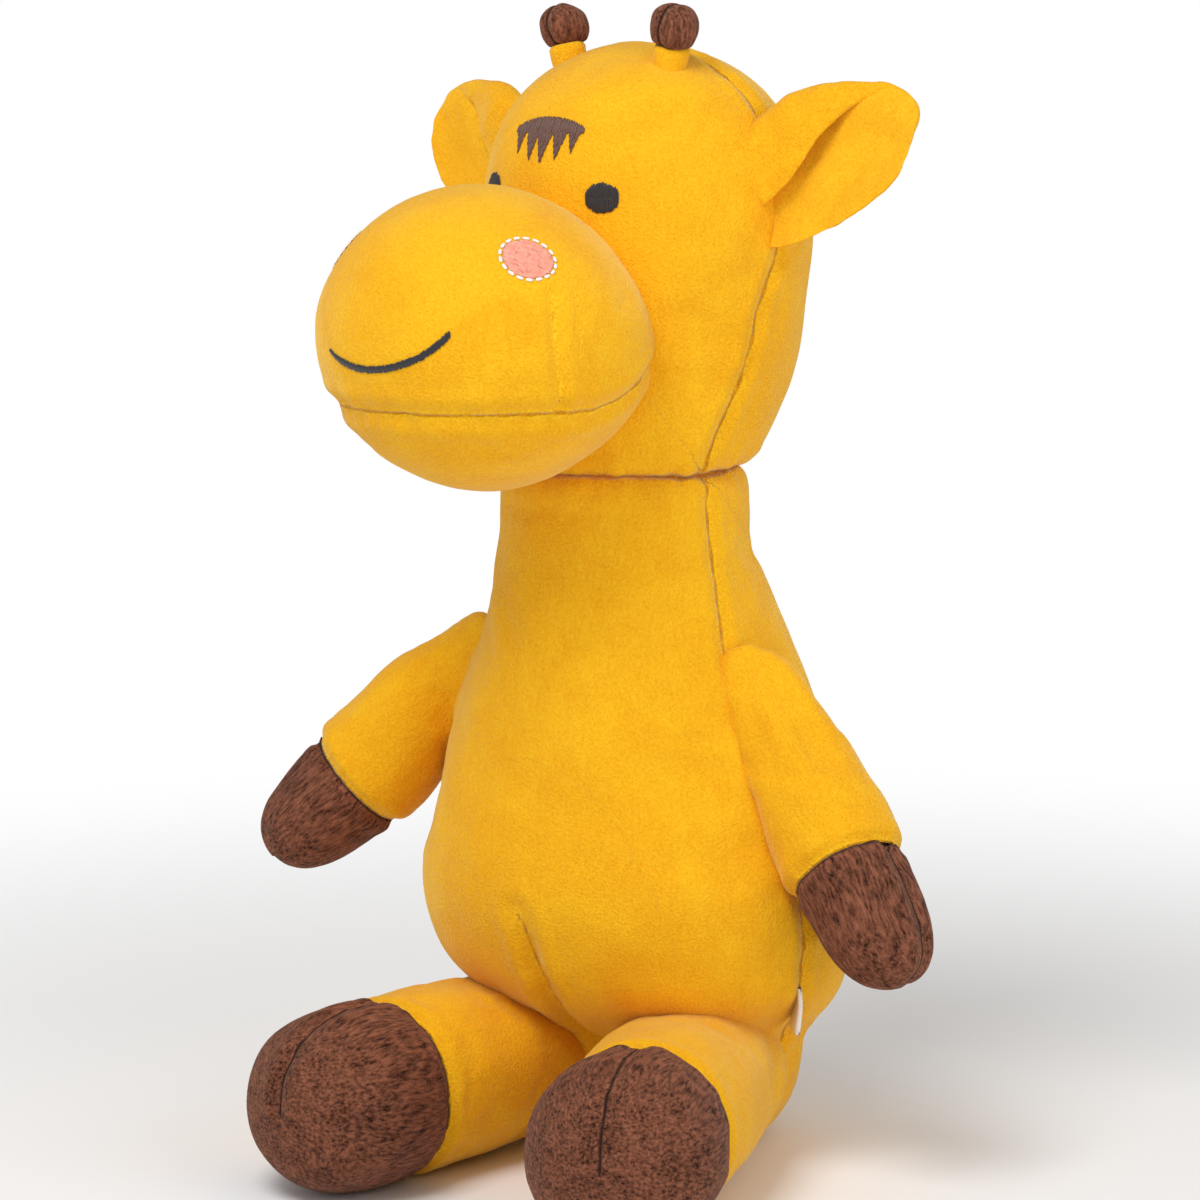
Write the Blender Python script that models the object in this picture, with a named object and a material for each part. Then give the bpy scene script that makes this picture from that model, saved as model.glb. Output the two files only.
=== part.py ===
# A sitting plush giraffe: sewn skin panels over stuffing, with soft limbs that hinge where they are sewn on.
# Metres, +Z up. It sits on the floor plane z = 0 and faces -Y, so its own left side is +X.
# The origin is on the floor, in the middle of the seat.
import math

import bmesh
import bpy
from mathutils import Matrix, Vector
from mathutils.bvhtree import BVHTree

# Cloth and clearances
SKIN = 0.0016  # short-pile plush cloth with its pile
GAP = 0.0003  # between two pieces that touch
WELD = 0.00001  # points this close are one
SEAM_GAP = 0.0004  # between two panels that are sewn edge to edge
RUNNING_GAP = 0.0009  # between a limb's round root and its socket
FLAT_DEPTH = 0.0005  # how deep the floor presses into the soft underside

# Torso: a pear with a long neck
TORSO_HEIGHT = 0.189  # floor to the centre of the neck's ball
BELLY_HALF_WIDTH = 0.0655
BELLY_HALF_DEPTH = 0.0545
NECK_FORWARD = 0.0200  # the neck's axis, before the seat's middle
NECK_BALL_RADIUS = 0.0385
SIDE_SEAM_FORWARD = 0.0180

# Head
HEAD_TURN = math.radians(-3.5)
HEAD_SEAM_LEAN = math.radians(11)  # the side seam leans back as it rises
HEAD_TILT = math.radians(-1.5)
HEAD_BACK = 0.0125  # how far its middle sits behind the neck's axis
HEAD_RISE = 0.0135  # from the centre of the neck's ball to the bottom of the head
HEAD_HEIGHT = 0.1305
HEAD_HALF_WIDTH = 0.0488
HEAD_HALF_DEPTH = 0.0470

# Muzzle
MUZZLE_FORWARD = 0.0580
MUZZLE_RISE = 0.0626  # its centre, above the centre of the neck's ball
MUZZLE_HALF_WIDTH = 0.0502
MUZZLE_HALF_LENGTH = 0.0445
MUZZLE_HALF_HEIGHT = 0.0438
MUZZLE_SEAM_DROP = 0.0215  # the chin seam, below the muzzle's centre
MUZZLE_POWER = 2.13
MUZZLE_PITCH = math.radians(6)  # its front is carried higher than its back

# Ears
EAR_LENGTH = 0.0565
EAR_HALF_WIDTH = 0.0175
EAR_HALF_THICK = 0.0052
EAR_CUP = 0.0065  # how far the edges curl forward
EAR_SIDE = 0.0475  # the root's centre, from the head's middle
EAR_BACK = 0.0150
EAR_DROP = 0.0520  # below the crown
EAR_ROOT_RADIUS = 0.0078
EAR_OUT_SHARE = 0.63  # which way it points
EAR_BACK_SHARE = 0.26
EAR_UP_SHARE = 0.56
EAR_FOLD = math.radians(15)  # how far it folds forward or back

# Horns
HORN_SIDE = 0.0180
HORN_BACK = 0.0020
HORN_SINK = 0.0140  # its foot, below the crown
HORN_LENGTH = 0.0145
HORN_RADIUS = 0.0056
HORN_TIP_RADIUS = 0.0074
HORN_TILT = math.radians(12)

# Arms
ARM_SIDE = 0.0518  # shoulder's centre, from the toy's middle
ARM_FORWARD = 0.0180
ARM_HEIGHT = 0.1460
ARM_ROOT_RADIUS = 0.0130
ARM_SLEEVE = 0.0605
ARM_HOOF = 0.0365
ARM_HALF_WIDTH = 0.0186
ARM_HALF_THICK = 0.0182
LEFT_ARM_DOWN = math.radians(31)  # from straight down, outwards
LEFT_ARM_FORE = math.radians(0)
RIGHT_ARM_DOWN = math.radians(47)
RIGHT_ARM_FORE = math.radians(28)

# Legs
LEG_SIDE = 0.0300
LEG_FORWARD = 0.0180
LEG_ROOT_RADIUS = 0.0246
LEG_SLEEVE = 0.0750
LEG_HOOF = 0.0470
LEG_HALF_WIDTH = 0.0272
LEG_HALF_HEIGHT = 0.0273
LEFT_LEG_SPLAY = math.radians(24)
RIGHT_LEG_SPLAY = math.radians(1)
# Where each leg can be turned to about its hip, outwards from how it lies
LEFT_LEG_SWING = (math.radians(-20), math.radians(20))
RIGHT_LEG_SWING = (math.radians(20), math.radians(40))

# Tail
TAIL_HEIGHT = 0.0300
TAIL_BACK = 0.0385
TAIL_LENGTH = 0.0380
TAIL_RADIUS = 0.0042
TAIL_TUFT = 0.0220
TAIL_TUFT_RADIUS = 0.0078
TAIL_TURN = math.radians(52)  # it lies towards the toy's right
TAIL_DROP = math.radians(14)
TAIL_ROOT_RADIUS = 0.0060
TAIL_ROOT_ROWS = 3
TAIL_SWING = (math.radians(45), math.radians(90))  # how far it turns towards the toy's left

# Mane: a strip of brown plush down the back of the head and neck
MANE_HALF_THICK = 0.0038
MANE_STAND = 0.0085

# Face
EYE_RADIUS = 0.0052
EYE_SIDE_ANGLE = math.radians(27)
EYE_DROP = 0.0430  # below the crown
CHEEK_HALF_LONG = 0.0094
CHEEK_HALF_SHORT = 0.0071
CHEEK_TILT = math.radians(22)
CHEEK_SIDE = 0.0355
CHEEK_FORWARD = 0.0190  # before the muzzle's centre
CHEEK_RISE = 0.0250  # above the muzzle's centre
CHEEK_BORDER = 0.0012  # width of the line of stitches round it
CHEEK_BORDER_GAP = 0.0004
SMILE_HALF_WIDTH = 0.0240
SMILE_TILT = math.radians(8)
SMILE_DROP = 0.0080  # its lowest point, below the muzzle's centre
SMILE_LIFT = 0.0085  # how far its ends rise above that
SMILE_LINE = 0.0017
FORELOCK_WIDTH = 0.0260
FORELOCK_DROP = 0.0265  # its middle, below the crown
FORELOCK_HEIGHT = 0.0135
PAD_THICK = 0.0008  # satin stitch stands this proud
SPOT_THICK = 0.0010
HEAD_SPOT_RADIUS = 0.0130
HEAD_SPOT_DROP = 0.0670  # below the crown
HEAD_SPOT_ANGLE = math.radians(152)
BACK_SPOT_RADIUS = 0.0150

# Label: a blank loop of white ribbon in the left side seam
LABEL_HEIGHT = 0.0130
LABEL_THICK = 0.0012
LABEL_END = 0.0655  # how far it reaches from the toy's middle
LABEL_MIDDLE = 0.0560

# Filling
BEAN_BAG_HEIGHT = 0.0300

# Counts
TORSO_SIDES = 24
HEAD_SIDES = 24
MUZZLE_SIDES = 24
LIMB_SIDES = 16
SMALL_SIDES = 12
SOCKET_SIDES = 20
NECK_BALL_SIDES = 24
MUZZLE_ROWS = 14
ROOT_ROWS = 4
TIP_ROWS = 5
PAD_SIDES = 14
SMILE_STEPS = 16

# Outlines, as shares: how far along, how wide, how deep, how far forward or back
TORSO_SHARES = (
    (-0.0026, 0.000, 0.000, -0.15),
    (-0.0022, 0.200, 0.200, -0.15),
    (-0.0010, 0.360, 0.360, -0.15),
    (0.0150, 0.473, 0.486, -0.18),
    (0.0550, 0.573, 0.569, -0.22),
    (0.1200, 0.634, 0.633, -0.25),
    (0.1800, 0.676, 0.683, -0.17),
    (0.2200, 0.790, 0.785, 0.02),
    (0.2600, 0.902, 0.895, 0.28),
    (0.3100, 0.990, 0.980, 0.53),
    (0.4000, 1.035, 1.025, 0.75),
    (0.4700, 1.030, 1.020, 0.80),
    (0.5500, 0.985, 0.985, 0.77),
    (0.6400, 0.916, 0.928, 0.76),
    (0.7400, 0.830, 0.850, 0.75),
    (0.8500, 0.705, 0.755, 0.78),
    (0.9400, 0.600, 0.680, 0.93),
    (1.0000, 0.562, 0.654, 1.00),
    (1.0700, 0.549, 0.645, 1.00),
    (1.2500, 0.549, 0.645, 1.00),
)
HEAD_SHARES = (
    (-0.035, 0.690, 0.680, 0.00),
    (0.000, 0.705, 0.700, 0.05),
    (0.060, 0.750, 0.750, 0.22),
    (0.140, 0.830, 0.830, 0.48),
    (0.240, 0.905, 0.905, 0.74),
    (0.360, 0.960, 0.960, 0.92),
    (0.480, 0.990, 0.990, 1.00),
    (0.590, 1.000, 1.000, 1.00),
    (0.690, 0.985, 0.985, 1.00),
    (0.780, 0.920, 0.925, 1.00),
    (0.860, 0.800, 0.810, 1.00),
    (0.925, 0.620, 0.640, 1.00),
    (0.970, 0.400, 0.420, 1.00),
    (0.994, 0.180, 0.190, 1.00),
    (1.000, 0.000, 0.000, 1.00),
)
ARM_SHARES = (
    (0.00, 0.699, 0.714),
    (0.18, 0.740, 0.760),
    (0.38, 0.880, 0.880),
    (0.60, 1.010, 0.990),
    (0.80, 1.055, 1.030),
    (0.93, 1.010, 0.990),
    (1.00, 0.970, 0.950),
)
ARM_HOOF_SHARES = (
    (0.00, 0.970, 0.950),
    (0.10, 1.030, 1.000),
    (0.30, 1.080, 1.020),
    (0.52, 1.020, 0.960),
    (0.74, 0.830, 0.790),
    (0.90, 0.540, 0.530),
    (0.98, 0.240, 0.240),
    (1.00, 0.000, 0.000),
)
LEG_SHARES = (
    (0.00, 0.904, 0.918),
    (0.15, 0.925, 0.915),
    (0.35, 0.965, 0.935),
    (0.60, 0.995, 0.975),
    (0.80, 1.000, 1.000),
    (0.93, 0.975, 0.985),
    (1.00, 0.950, 0.965),
)
LEG_HOOF_SHARES = (
    (0.00, 0.950, 0.965),
    (0.08, 1.000, 1.000),
    (0.28, 1.055, 1.010),
    (0.50, 1.040, 0.985),
    (0.70, 0.920, 0.880),
    (0.86, 0.700, 0.680),
    (0.96, 0.400, 0.400),
    (1.00, 0.000, 0.000),
)
EAR_SHARES = (
    (0.00, 0.420, 1.000),
    (0.15, 0.600, 1.050),
    (0.30, 0.860, 1.000),
    (0.50, 1.000, 0.920),
    (0.70, 0.920, 0.800),
    (0.86, 0.660, 0.620),
    (0.96, 0.340, 0.400),
    (1.00, 0.000, 0.000),
)
TAIL_TUFT_SHARES = (
    (0.00, 0.480, 0.480),
    (0.15, 0.780, 0.780),
    (0.45, 1.000, 1.000),
    (0.75, 0.720, 0.720),
    (0.94, 0.280, 0.280),
    (1.00, 0.000, 0.000),
)
# Spots on the torso's back: how far up, and round from the middle in half circles
BACK_SPOT_SHARES = ((0.33, 0.12), (0.47, -0.17), (0.66, 0.08))
MANE_HEAD_SHARES = (0.05, 0.96)
MANE_NECK_SHARES = (0.70, 1.02)
# The mane's section: how thick, how far it stands
MANE_SHARES = ((-1.0, 0.0), (1.0, 0.0), (0.8, 0.7), (0.0, 1.0), (-0.8, 0.7))
MANE_END_SHARE = 0.45
DISC_SHARES = (0, 0.5, 1)  # rings of a round pad
TUFT_SHARES = (0, 0.5, 1)  # rungs of each column of the forelock
FORELOCK_SHARES = (
    (-1.00, 0.35),
    (-0.80, -0.55),
    (-0.60, 0.15),
    (-0.38, -0.85),
    (-0.18, 0.05),
    (0.00, -1.00),
    (0.20, 0.05),
    (0.42, -0.80),
    (0.62, 0.15),
    (0.80, -0.50),
    (1.00, 0.35),
)
FORELOCK_ROUND_SHARE = 0.7
# An ear's half section, round: how far across, how thick
LEAF_SHARES = (
    (-1.0, 0.0),
    (-1.0, 0.25),
    (-0.6, 0.80),
    (0.0, 1.0),
    (0.6, 0.80),
    (1.0, 0.25),
    (1.0, 0.0),
    (0.0, 0.0),
)
EAR_TIP_SHARE = 0.12
SMILE_TAPER_SHARE = 0.6
SMILE_TAPER_POWER = 6


for old in list(bpy.data.objects):
    bpy.data.objects.remove(old, do_unlink=True)


# Materials
def fabric(name, colour, roughness):
    material = bpy.data.materials.new(name)
    material.use_nodes = True
    shader = material.node_tree.nodes["Principled BSDF"]
    shader.inputs["Base Color"].default_value = (*colour, 1)
    shader.inputs["Roughness"].default_value = roughness
    shader.inputs["Metallic"].default_value = 0
    material.diffuse_color = (*colour, 1)
    return material


yellow_plush = fabric("yellow_plush", (0.93, 0.50, 0.03), 0.92)
brown_plush = fabric("brown_plush", (0.16, 0.055, 0.028), 0.92)
ear_lining_cloth = fabric("ear_lining_cloth", (0.93, 0.52, 0.05), 0.92)
black_thread = fabric("black_thread", (0.016, 0.013, 0.014), 0.6)
brown_thread = fabric("brown_thread", (0.13, 0.045, 0.022), 0.6)
salmon_thread = fabric("salmon_thread", (0.86, 0.36, 0.22), 0.6)
white_thread = fabric("white_thread", (0.88, 0.86, 0.84), 0.6)
white_ribbon = fabric("white_ribbon", (0.86, 0.86, 0.85), 0.5)
fibre_filling = fabric("fibre_filling", (0.90, 0.90, 0.88), 0.95)
pellet_filling = fabric("pellet_filling", (0.80, 0.80, 0.78), 0.7)


# Shapes
def link(name, mesh, material=None, place=None):
    made = bpy.data.objects.new(name, mesh)
    bpy.context.scene.collection.objects.link(made)
    if material:
        mesh.materials.append(material)
        mesh.shade_smooth()
        mesh.set_sharp_from_angle(angle=math.radians(40))
    else:
        made.hide_render = True
        made.display_type = "WIRE"
    if place is not None:
        made.matrix_world = place
    return made


def mesh_of(name, bm):
    bmesh.ops.remove_doubles(bm, verts=bm.verts, dist=WELD)
    bmesh.ops.recalc_face_normals(bm, faces=bm.faces)
    mesh = bpy.data.meshes.new(name)
    bm.to_mesh(mesh)
    bm.free()
    return mesh


def shrunk(rows, inset):
    """Rows of (along, half width, half depth, ...) moved in by inset, square to the outline."""
    if not inset:
        return rows
    found = []
    for i, row in enumerate(rows):
        before = rows[max(i - 1, 0)]
        after = rows[min(i + 1, len(rows) - 1)]
        run = after[0] - before[0]
        rise = (after[1] + after[2] - before[1] - before[2]) / 2
        length = math.hypot(run, rise) or 1
        along = row[0] + inset * rise / length
        narrower = inset * run / length
        half_width = max(row[1] - narrower, 0) if row[1] else 0
        half_depth = max(row[2] - narrower, 0) if row[2] else 0
        found.append((along, half_width, half_depth, *row[3:]))
    return found


def swell(name, rows, sides, material=None, place=None, bend=None):
    """A closed form through rows of (along z, half width on x, half depth on y, middle's y)."""
    bm = bmesh.new()
    rings = []
    for row in rows:
        along, half_width, half_depth = row[:3]
        middle = Vector((0, row[3] if len(row) > 3 else 0, along))
        if half_width <= 0:
            rings.append([bm.verts.new(middle)])
            continue
        ring = []
        for i in range(sides):
            angle = 2 * math.pi * i / sides
            side = half_width * math.cos(angle)
            fore = half_depth * math.sin(angle)
            if bend:
                fore += bend(side, along)
            ring.append(bm.verts.new(middle + Vector((side, fore, 0))))
        rings.append(ring)
    for low, high in zip(rings, rings[1:]):
        for i in range(sides):
            j = (i + 1) % sides
            if len(low) == 1:
                bm.faces.new((low[0], high[j], high[i]))
            elif len(high) == 1:
                bm.faces.new((low[i], low[j], high[0]))
            else:
                bm.faces.new((low[i], low[j], high[j], high[i]))
    for end in (rings[0], rings[-1]):
        if len(end) > 1:
            bm.faces.new(end)
    return link(name, mesh_of(name, bm), material, place)


def ball(name, radius, place, sides=24, material=None):
    bm = bmesh.new()
    bmesh.ops.create_uvsphere(bm, u_segments=sides, v_segments=sides // 2, radius=radius)
    return link(name, mesh_of(name, bm), material, place)


def block(name, low, high, place=None):
    """A plain box between two corners, to cut with."""
    bm = bmesh.new()
    bmesh.ops.create_cube(bm, size=1)
    size = high - low
    bmesh.ops.scale(bm, vec=size, verts=bm.verts)
    bmesh.ops.translate(bm, vec=(low + high) / 2, verts=bm.verts)
    return link(name, mesh_of(name, bm), None, place)


def boolean(piece, other, operation):
    modifier = piece.modifiers.new(other.name, "BOOLEAN")
    modifier.operation = operation
    modifier.object = other
    modifier.solver = "EXACT"


def cut(piece, *cutters):
    for cutter in cutters:
        boolean(piece, cutter, "DIFFERENCE")
    return piece


def scaled(shares, length, half_width, half_depth, back=None):
    """Rows in metres from rows of shares."""
    found = []
    for row in shares:
        middle = (row[3] * back,) if back is not None else ()
        found.append((row[0] * length, row[1] * half_width, row[2] * half_depth, *middle))
    return found


def sides_for(sides, inset):
    """Inner forms have half the sides, at the same angles, so that they stay inside the outer one."""
    return sides // 2 if inset > 0 else sides


# Where the joints are
FLAT = Matrix.Identity(4)
NECK = Matrix.Translation((0, -NECK_FORWARD, TORSO_HEIGHT))
CROWN = HEAD_RISE + HEAD_HEIGHT  # above the centre of the neck's ball
HEAD = NECK @ Matrix.Rotation(HEAD_TURN, 4, "Z") @ Matrix.Rotation(HEAD_TILT, 4, "Y")
LEG_HEIGHT = LEG_HALF_HEIGHT - FLAT_DEPTH


def frame_on(origin, along, back):
    """A frame at origin whose z runs along, and whose y is as near to back as it can be."""
    z = along.normalized()
    y = (back - back.dot(z) * z).normalized()
    x = y.cross(z)
    turned = Matrix((x, y, z)).transposed().to_4x4()
    return Matrix.Translation(origin) @ turned


def arm_place(side, down, fore):
    """The shoulder's frame: z runs down the arm."""
    place = Matrix.Translation((side * ARM_SIDE, -ARM_FORWARD, ARM_HEIGHT))
    return place @ Matrix.Rotation(-side * fore, 4, "Z") @ Matrix.Rotation(side * (math.pi - down), 4, "Y")


def leg_place(side, splay):
    """The hip's frame: z runs along the leg, away from the toy, and y up."""
    place = Matrix.Translation((side * LEG_SIDE, -LEG_FORWARD, LEG_HEIGHT))
    return place @ Matrix.Rotation(side * splay, 4, "Z") @ Matrix.Rotation(math.pi / 2, 4, "X")


def ear_place(side):
    """The ear's root: z runs out to the tip, and the lining faces -y."""
    origin = HEAD @ Vector((side * EAR_SIDE, EAR_BACK, CROWN - EAR_DROP))
    turned = HEAD.to_3x3()
    along = turned @ Vector((side * EAR_OUT_SHARE, EAR_BACK_SHARE, EAR_UP_SHARE))
    return frame_on(origin, along, turned @ Vector((0, 1, 0)))


SIDES = {"left": 1, "right": -1}
arm_places = {
    "left": arm_place(1, LEFT_ARM_DOWN, LEFT_ARM_FORE),
    "right": arm_place(-1, RIGHT_ARM_DOWN, RIGHT_ARM_FORE),
}
leg_places = {"left": leg_place(1, LEFT_LEG_SPLAY), "right": leg_place(-1, RIGHT_LEG_SPLAY)}
leg_swings = {"left": LEFT_LEG_SWING, "right": [-angle for angle in RIGHT_LEG_SWING]}
ear_places = {name: ear_place(side) for name, side in SIDES.items()}
tail_run = Vector((-math.sin(TAIL_TURN), math.cos(TAIL_TURN), -math.tan(TAIL_DROP)))
tail_place = frame_on(Vector((0, TAIL_BACK, TAIL_HEIGHT)), tail_run, Vector((0, 0, 1)))



def socket(name, root_radius, place, sides):
    """The room that a round root turns in, with its facets outside the running gap."""
    return ball(name + "_socket", (root_radius + RUNNING_GAP) / math.cos(math.pi / sides), place, sides)


def turned_about(place, axis, angle):
    """Where a fixed thing lies for a piece that has turned by angle about this axis of its place."""
    return place @ Matrix.Rotation(-angle, 4, axis) @ place.inverted()


# Cutters that several pieces share
FAR = 2 * TORSO_HEIGHT
floor_cutter = block("floor_cutter", Vector((-FAR, -FAR, -FAR)), Vector((FAR, FAR, 0)))
lining_floor = block("lining_floor", Vector((-FAR, -FAR, -FAR)), Vector((FAR, FAR, SKIN)))
filling_floor = block("filling_floor", Vector((-FAR, -FAR, -FAR)), Vector((FAR, FAR, SKIN + GAP)))
half_seam = SEAM_GAP / 2
behind_seam = block("behind_seam", Vector((-FAR, -SIDE_SEAM_FORWARD - half_seam, -FAR)), Vector((FAR, FAR, FAR)))
before_seam = block("before_seam", Vector((-FAR, -FAR, -FAR)), Vector((FAR, -SIDE_SEAM_FORWARD + half_seam, FAR)))
sockets = [socket(f"{name}_arm", ARM_ROOT_RADIUS, arm_places[name], SOCKET_SIDES) for name in SIDES]
sockets += [socket(f"{name}_leg", LEG_ROOT_RADIUS, leg_places[name], SOCKET_SIDES) for name in SIDES]
sockets.append(socket("tail", TAIL_ROOT_RADIUS, tail_place, SMALL_SIDES))
neck_socket = ball("neck_socket", NECK_BALL_RADIUS + RUNNING_GAP, HEAD, NECK_BALL_SIDES)

# Torso
torso_rows = scaled(TORSO_SHARES, TORSO_HEIGHT, BELLY_HALF_WIDTH, BELLY_HALF_DEPTH, -NECK_FORWARD)


def torso_form(name, inset, material=None):
    """The pear moved in by inset, its neck rounded off by the neck's ball."""
    dome = block(name + "_dome", Vector((-FAR, -FAR, TORSO_HEIGHT)), Vector((FAR, FAR, TORSO_HEIGHT + FAR)))
    cut(dome, ball(name + "_ball", NECK_BALL_RADIUS - inset, NECK, sides_for(NECK_BALL_SIDES, inset)))
    made = swell(name, shrunk(torso_rows, inset), sides_for(TORSO_SIDES, inset), material)
    return cut(made, dome)


torso_lining = torso_form("torso_lining", SKIN)
cut(torso_lining, lining_floor)
torso_front = cut(torso_form("torso_front", 0, yellow_plush), floor_cutter, torso_lining, behind_seam, *sockets)
torso_back = cut(torso_form("torso_back", 0, yellow_plush), floor_cutter, torso_lining, before_seam, *sockets)

bag_top = SKIN + GAP + BEAN_BAG_HEIGHT
over_bag = block("over_bag", Vector((-FAR, -FAR, bag_top)), Vector((FAR, FAR, FAR)))
under_bag = block("under_bag", Vector((-FAR, -FAR, -FAR)), Vector((FAR, FAR, bag_top + GAP)))
torso_stuffing = cut(torso_form("torso_stuffing", SKIN + GAP, fibre_filling), under_bag, *sockets)
bean_bag = cut(torso_form("bean_bag", SKIN + GAP, pellet_filling), filling_floor, over_bag, *sockets)

# Head: a face panel and a back panel round their own stuffing
head_rows = scaled(HEAD_SHARES, HEAD_HEIGHT, HEAD_HALF_WIDTH, HEAD_HALF_DEPTH, HEAD_BACK)
head_base = HEAD @ Matrix.Translation((0, 0, HEAD_RISE))


def head_form(name, inset, material=None):
    return swell(name, shrunk(head_rows, inset), sides_for(HEAD_SIDES, inset), material, head_base)


head_guard = head_form("head_guard", -GAP)
head_lining = head_form("head_lining", SKIN)
ear_sockets = [socket(f"{name}_ear", EAR_ROOT_RADIUS, ear_places[name], SMALL_SIDES) for name in SIDES]
head_seam = head_base @ Matrix.Rotation(-HEAD_SEAM_LEAN, 4, "X")
head_behind = block("head_behind", Vector((-FAR, -half_seam, -FAR)), Vector((FAR, FAR, FAR)), head_seam)
head_before = block("head_before", Vector((-FAR, -FAR, -FAR)), Vector((FAR, half_seam, FAR)), head_seam)
cut(head_form("head_face", 0, yellow_plush), head_lining, neck_socket, head_behind, *ear_sockets)
cut(head_form("head_back", 0, yellow_plush), head_lining, neck_socket, head_before, *ear_sockets)
cut(head_form("head_stuffing", SKIN + GAP, fibre_filling), neck_socket, *ear_sockets)

# Muzzle: a top panel and a chin panel sewn to the face, stuffed
muzzle_place = HEAD @ Matrix.Translation((0, -MUZZLE_FORWARD, MUZZLE_RISE))
muzzle_place = muzzle_place @ Matrix.Rotation(math.pi / 2 - MUZZLE_PITCH, 4, "X")
muzzle_place = muzzle_place @ Matrix.Translation((0, 0, -MUZZLE_FORWARD))


def muzzle_rows():
    """Rows from the back pole to the front one, of a rounded pillow."""
    rows = []
    for i in range(MUZZLE_ROWS + 1):
        angle = math.pi * i / MUZZLE_ROWS
        along = -math.copysign(abs(math.cos(angle)) ** (2 / MUZZLE_POWER), math.cos(angle))
        swelling = math.sin(angle) ** (2 / MUZZLE_POWER) if 0 < i < MUZZLE_ROWS else 0
        forward = MUZZLE_FORWARD + along * MUZZLE_HALF_LENGTH
        rows.append((forward, swelling * MUZZLE_HALF_WIDTH, swelling * MUZZLE_HALF_HEIGHT))
    return rows


def muzzle_form(name, inset, material=None):
    made = swell(name, shrunk(muzzle_rows(), inset), sides_for(MUZZLE_SIDES, inset), material, muzzle_place)
    guard = head_form(name + "_guard", -GAP - inset)
    return cut(made, guard)


seam_height = MUZZLE_RISE - MUZZLE_SEAM_DROP
muzzle_lining = muzzle_form("muzzle_lining", SKIN)
over_chin = block("over_chin", Vector((-FAR, -FAR, seam_height - half_seam)), Vector((FAR, FAR, FAR)), HEAD)
under_muzzle = block("under_muzzle", Vector((-FAR, -FAR, -FAR)), Vector((FAR, FAR, seam_height + half_seam)), HEAD)
cut(muzzle_form("muzzle_top", 0, yellow_plush), muzzle_lining, under_muzzle)
cut(muzzle_form("muzzle_chin", 0, yellow_plush), muzzle_lining, over_chin)
muzzle_form("muzzle_stuffing", SKIN + GAP, fibre_filling)


# Limbs: a sleeve and a hoof over stuffing, round at the root
def limb_rows(root_radius, sleeve_shares, sleeve, hoof_shares, hoof, half_width, half_depth):
    rows = []
    for i in range(ROOT_ROWS):
        angle = math.pi / 2 * i / ROOT_ROWS
        swelling = root_radius * math.sin(angle)
        rows.append((-root_radius * math.cos(angle), swelling, swelling))
    rows += scaled(sleeve_shares, sleeve, half_width, half_depth)
    rows += [(sleeve + row[0], *row[1:]) for row in scaled(hoof_shares[1:], hoof, half_width, half_depth)]
    return rows


def make_limb(name, rows, place, root_radius, sleeve, floors, swing=()):
    """Sleeve, hoof and stuffing of one limb, each cut where the torso is, also when it swings to these angles."""

    def form(piece, inset, floor, material=None):
        made = swell(piece, shrunk(rows, inset), sides_for(LIMB_SIDES, inset), material, place)
        root_ball = ball(piece + "_root_ball", root_radius + RUNNING_GAP / 2 - inset, place, SOCKET_SIDES)
        cut(made, cut(swell(piece + "_torso_guard", shrunk(torso_rows, -GAP - inset), TORSO_SIDES), root_ball))
        for angle in swing:
            turned = turned_about(place, "Y", angle)
            guard = swell(piece + "_swing_guard", shrunk(torso_rows, -RUNNING_GAP - inset), TORSO_SIDES, None, turned)
            cut(made, cut(guard, root_ball))
        return cut(made, floor) if floors else made

    lining = form(name + "_lining", SKIN, lining_floor)
    past_seam = block(
        name + "_past_seam", Vector((-FAR, -FAR, sleeve - half_seam)), Vector((FAR, FAR, FAR)), place
    )
    short_of_seam = block(
        name + "_short_of_seam", Vector((-FAR, -FAR, -FAR)), Vector((FAR, FAR, sleeve + half_seam)), place
    )
    cut(form(name + "_sleeve", 0, floor_cutter, yellow_plush), lining, past_seam)
    cut(form(name + "_hoof", 0, floor_cutter, brown_plush), lining, short_of_seam)
    form(name + "_stuffing", SKIN + GAP, filling_floor, fibre_filling)


arm_rows = limb_rows(
    ARM_ROOT_RADIUS, ARM_SHARES, ARM_SLEEVE, ARM_HOOF_SHARES, ARM_HOOF, ARM_HALF_WIDTH, ARM_HALF_THICK
)
leg_rows = limb_rows(
    LEG_ROOT_RADIUS, LEG_SHARES, LEG_SLEEVE, LEG_HOOF_SHARES, LEG_HOOF, LEG_HALF_WIDTH, LEG_HALF_HEIGHT
)
for name in SIDES:
    make_limb(f"arm_{name}", arm_rows, arm_places[name], ARM_ROOT_RADIUS, ARM_SLEEVE, False)
    make_limb(f"leg_{name}", leg_rows, leg_places[name], LEG_ROOT_RADIUS, LEG_SLEEVE, True, leg_swings[name])


# Ears: an outer leaf, which carries the round root, and a lining leaf
ear_rows = scaled(EAR_SHARES, EAR_LENGTH, EAR_HALF_WIDTH, EAR_HALF_THICK)


def leaf(name, rows, facing, material, place):
    """Half an ear, on one side of its curled middle surface: facing is 1 behind it and -1 before it."""
    bm = bmesh.new()
    rings = []
    for along, half_width, half_thick in rows:
        ring = []
        for across_share, thick_share in LEAF_SHARES:
            side = across_share * half_width
            curl = EAR_CUP * (side / EAR_HALF_WIDTH) ** 2
            fore = facing * (GAP / 2 + thick_share * half_thick) - curl
            ring.append(bm.verts.new((side, fore, along)))
        rings.append(ring)
    for low, high in zip(rings, rings[1:]):
        for i in range(len(low)):
            j = (i + 1) % len(low)
            bm.faces.new((low[i], low[j], high[j], high[i]))
    # The twisted middle surface is split alike in both leaves, so that they keep their gap
    bmesh.ops.triangulate(bm, faces=bm.faces, quad_method="FIXED")
    bm.faces.new(rings[0])
    bm.faces.new(rings[-1])
    return link(name, mesh_of(name, bm), material, place)


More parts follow.
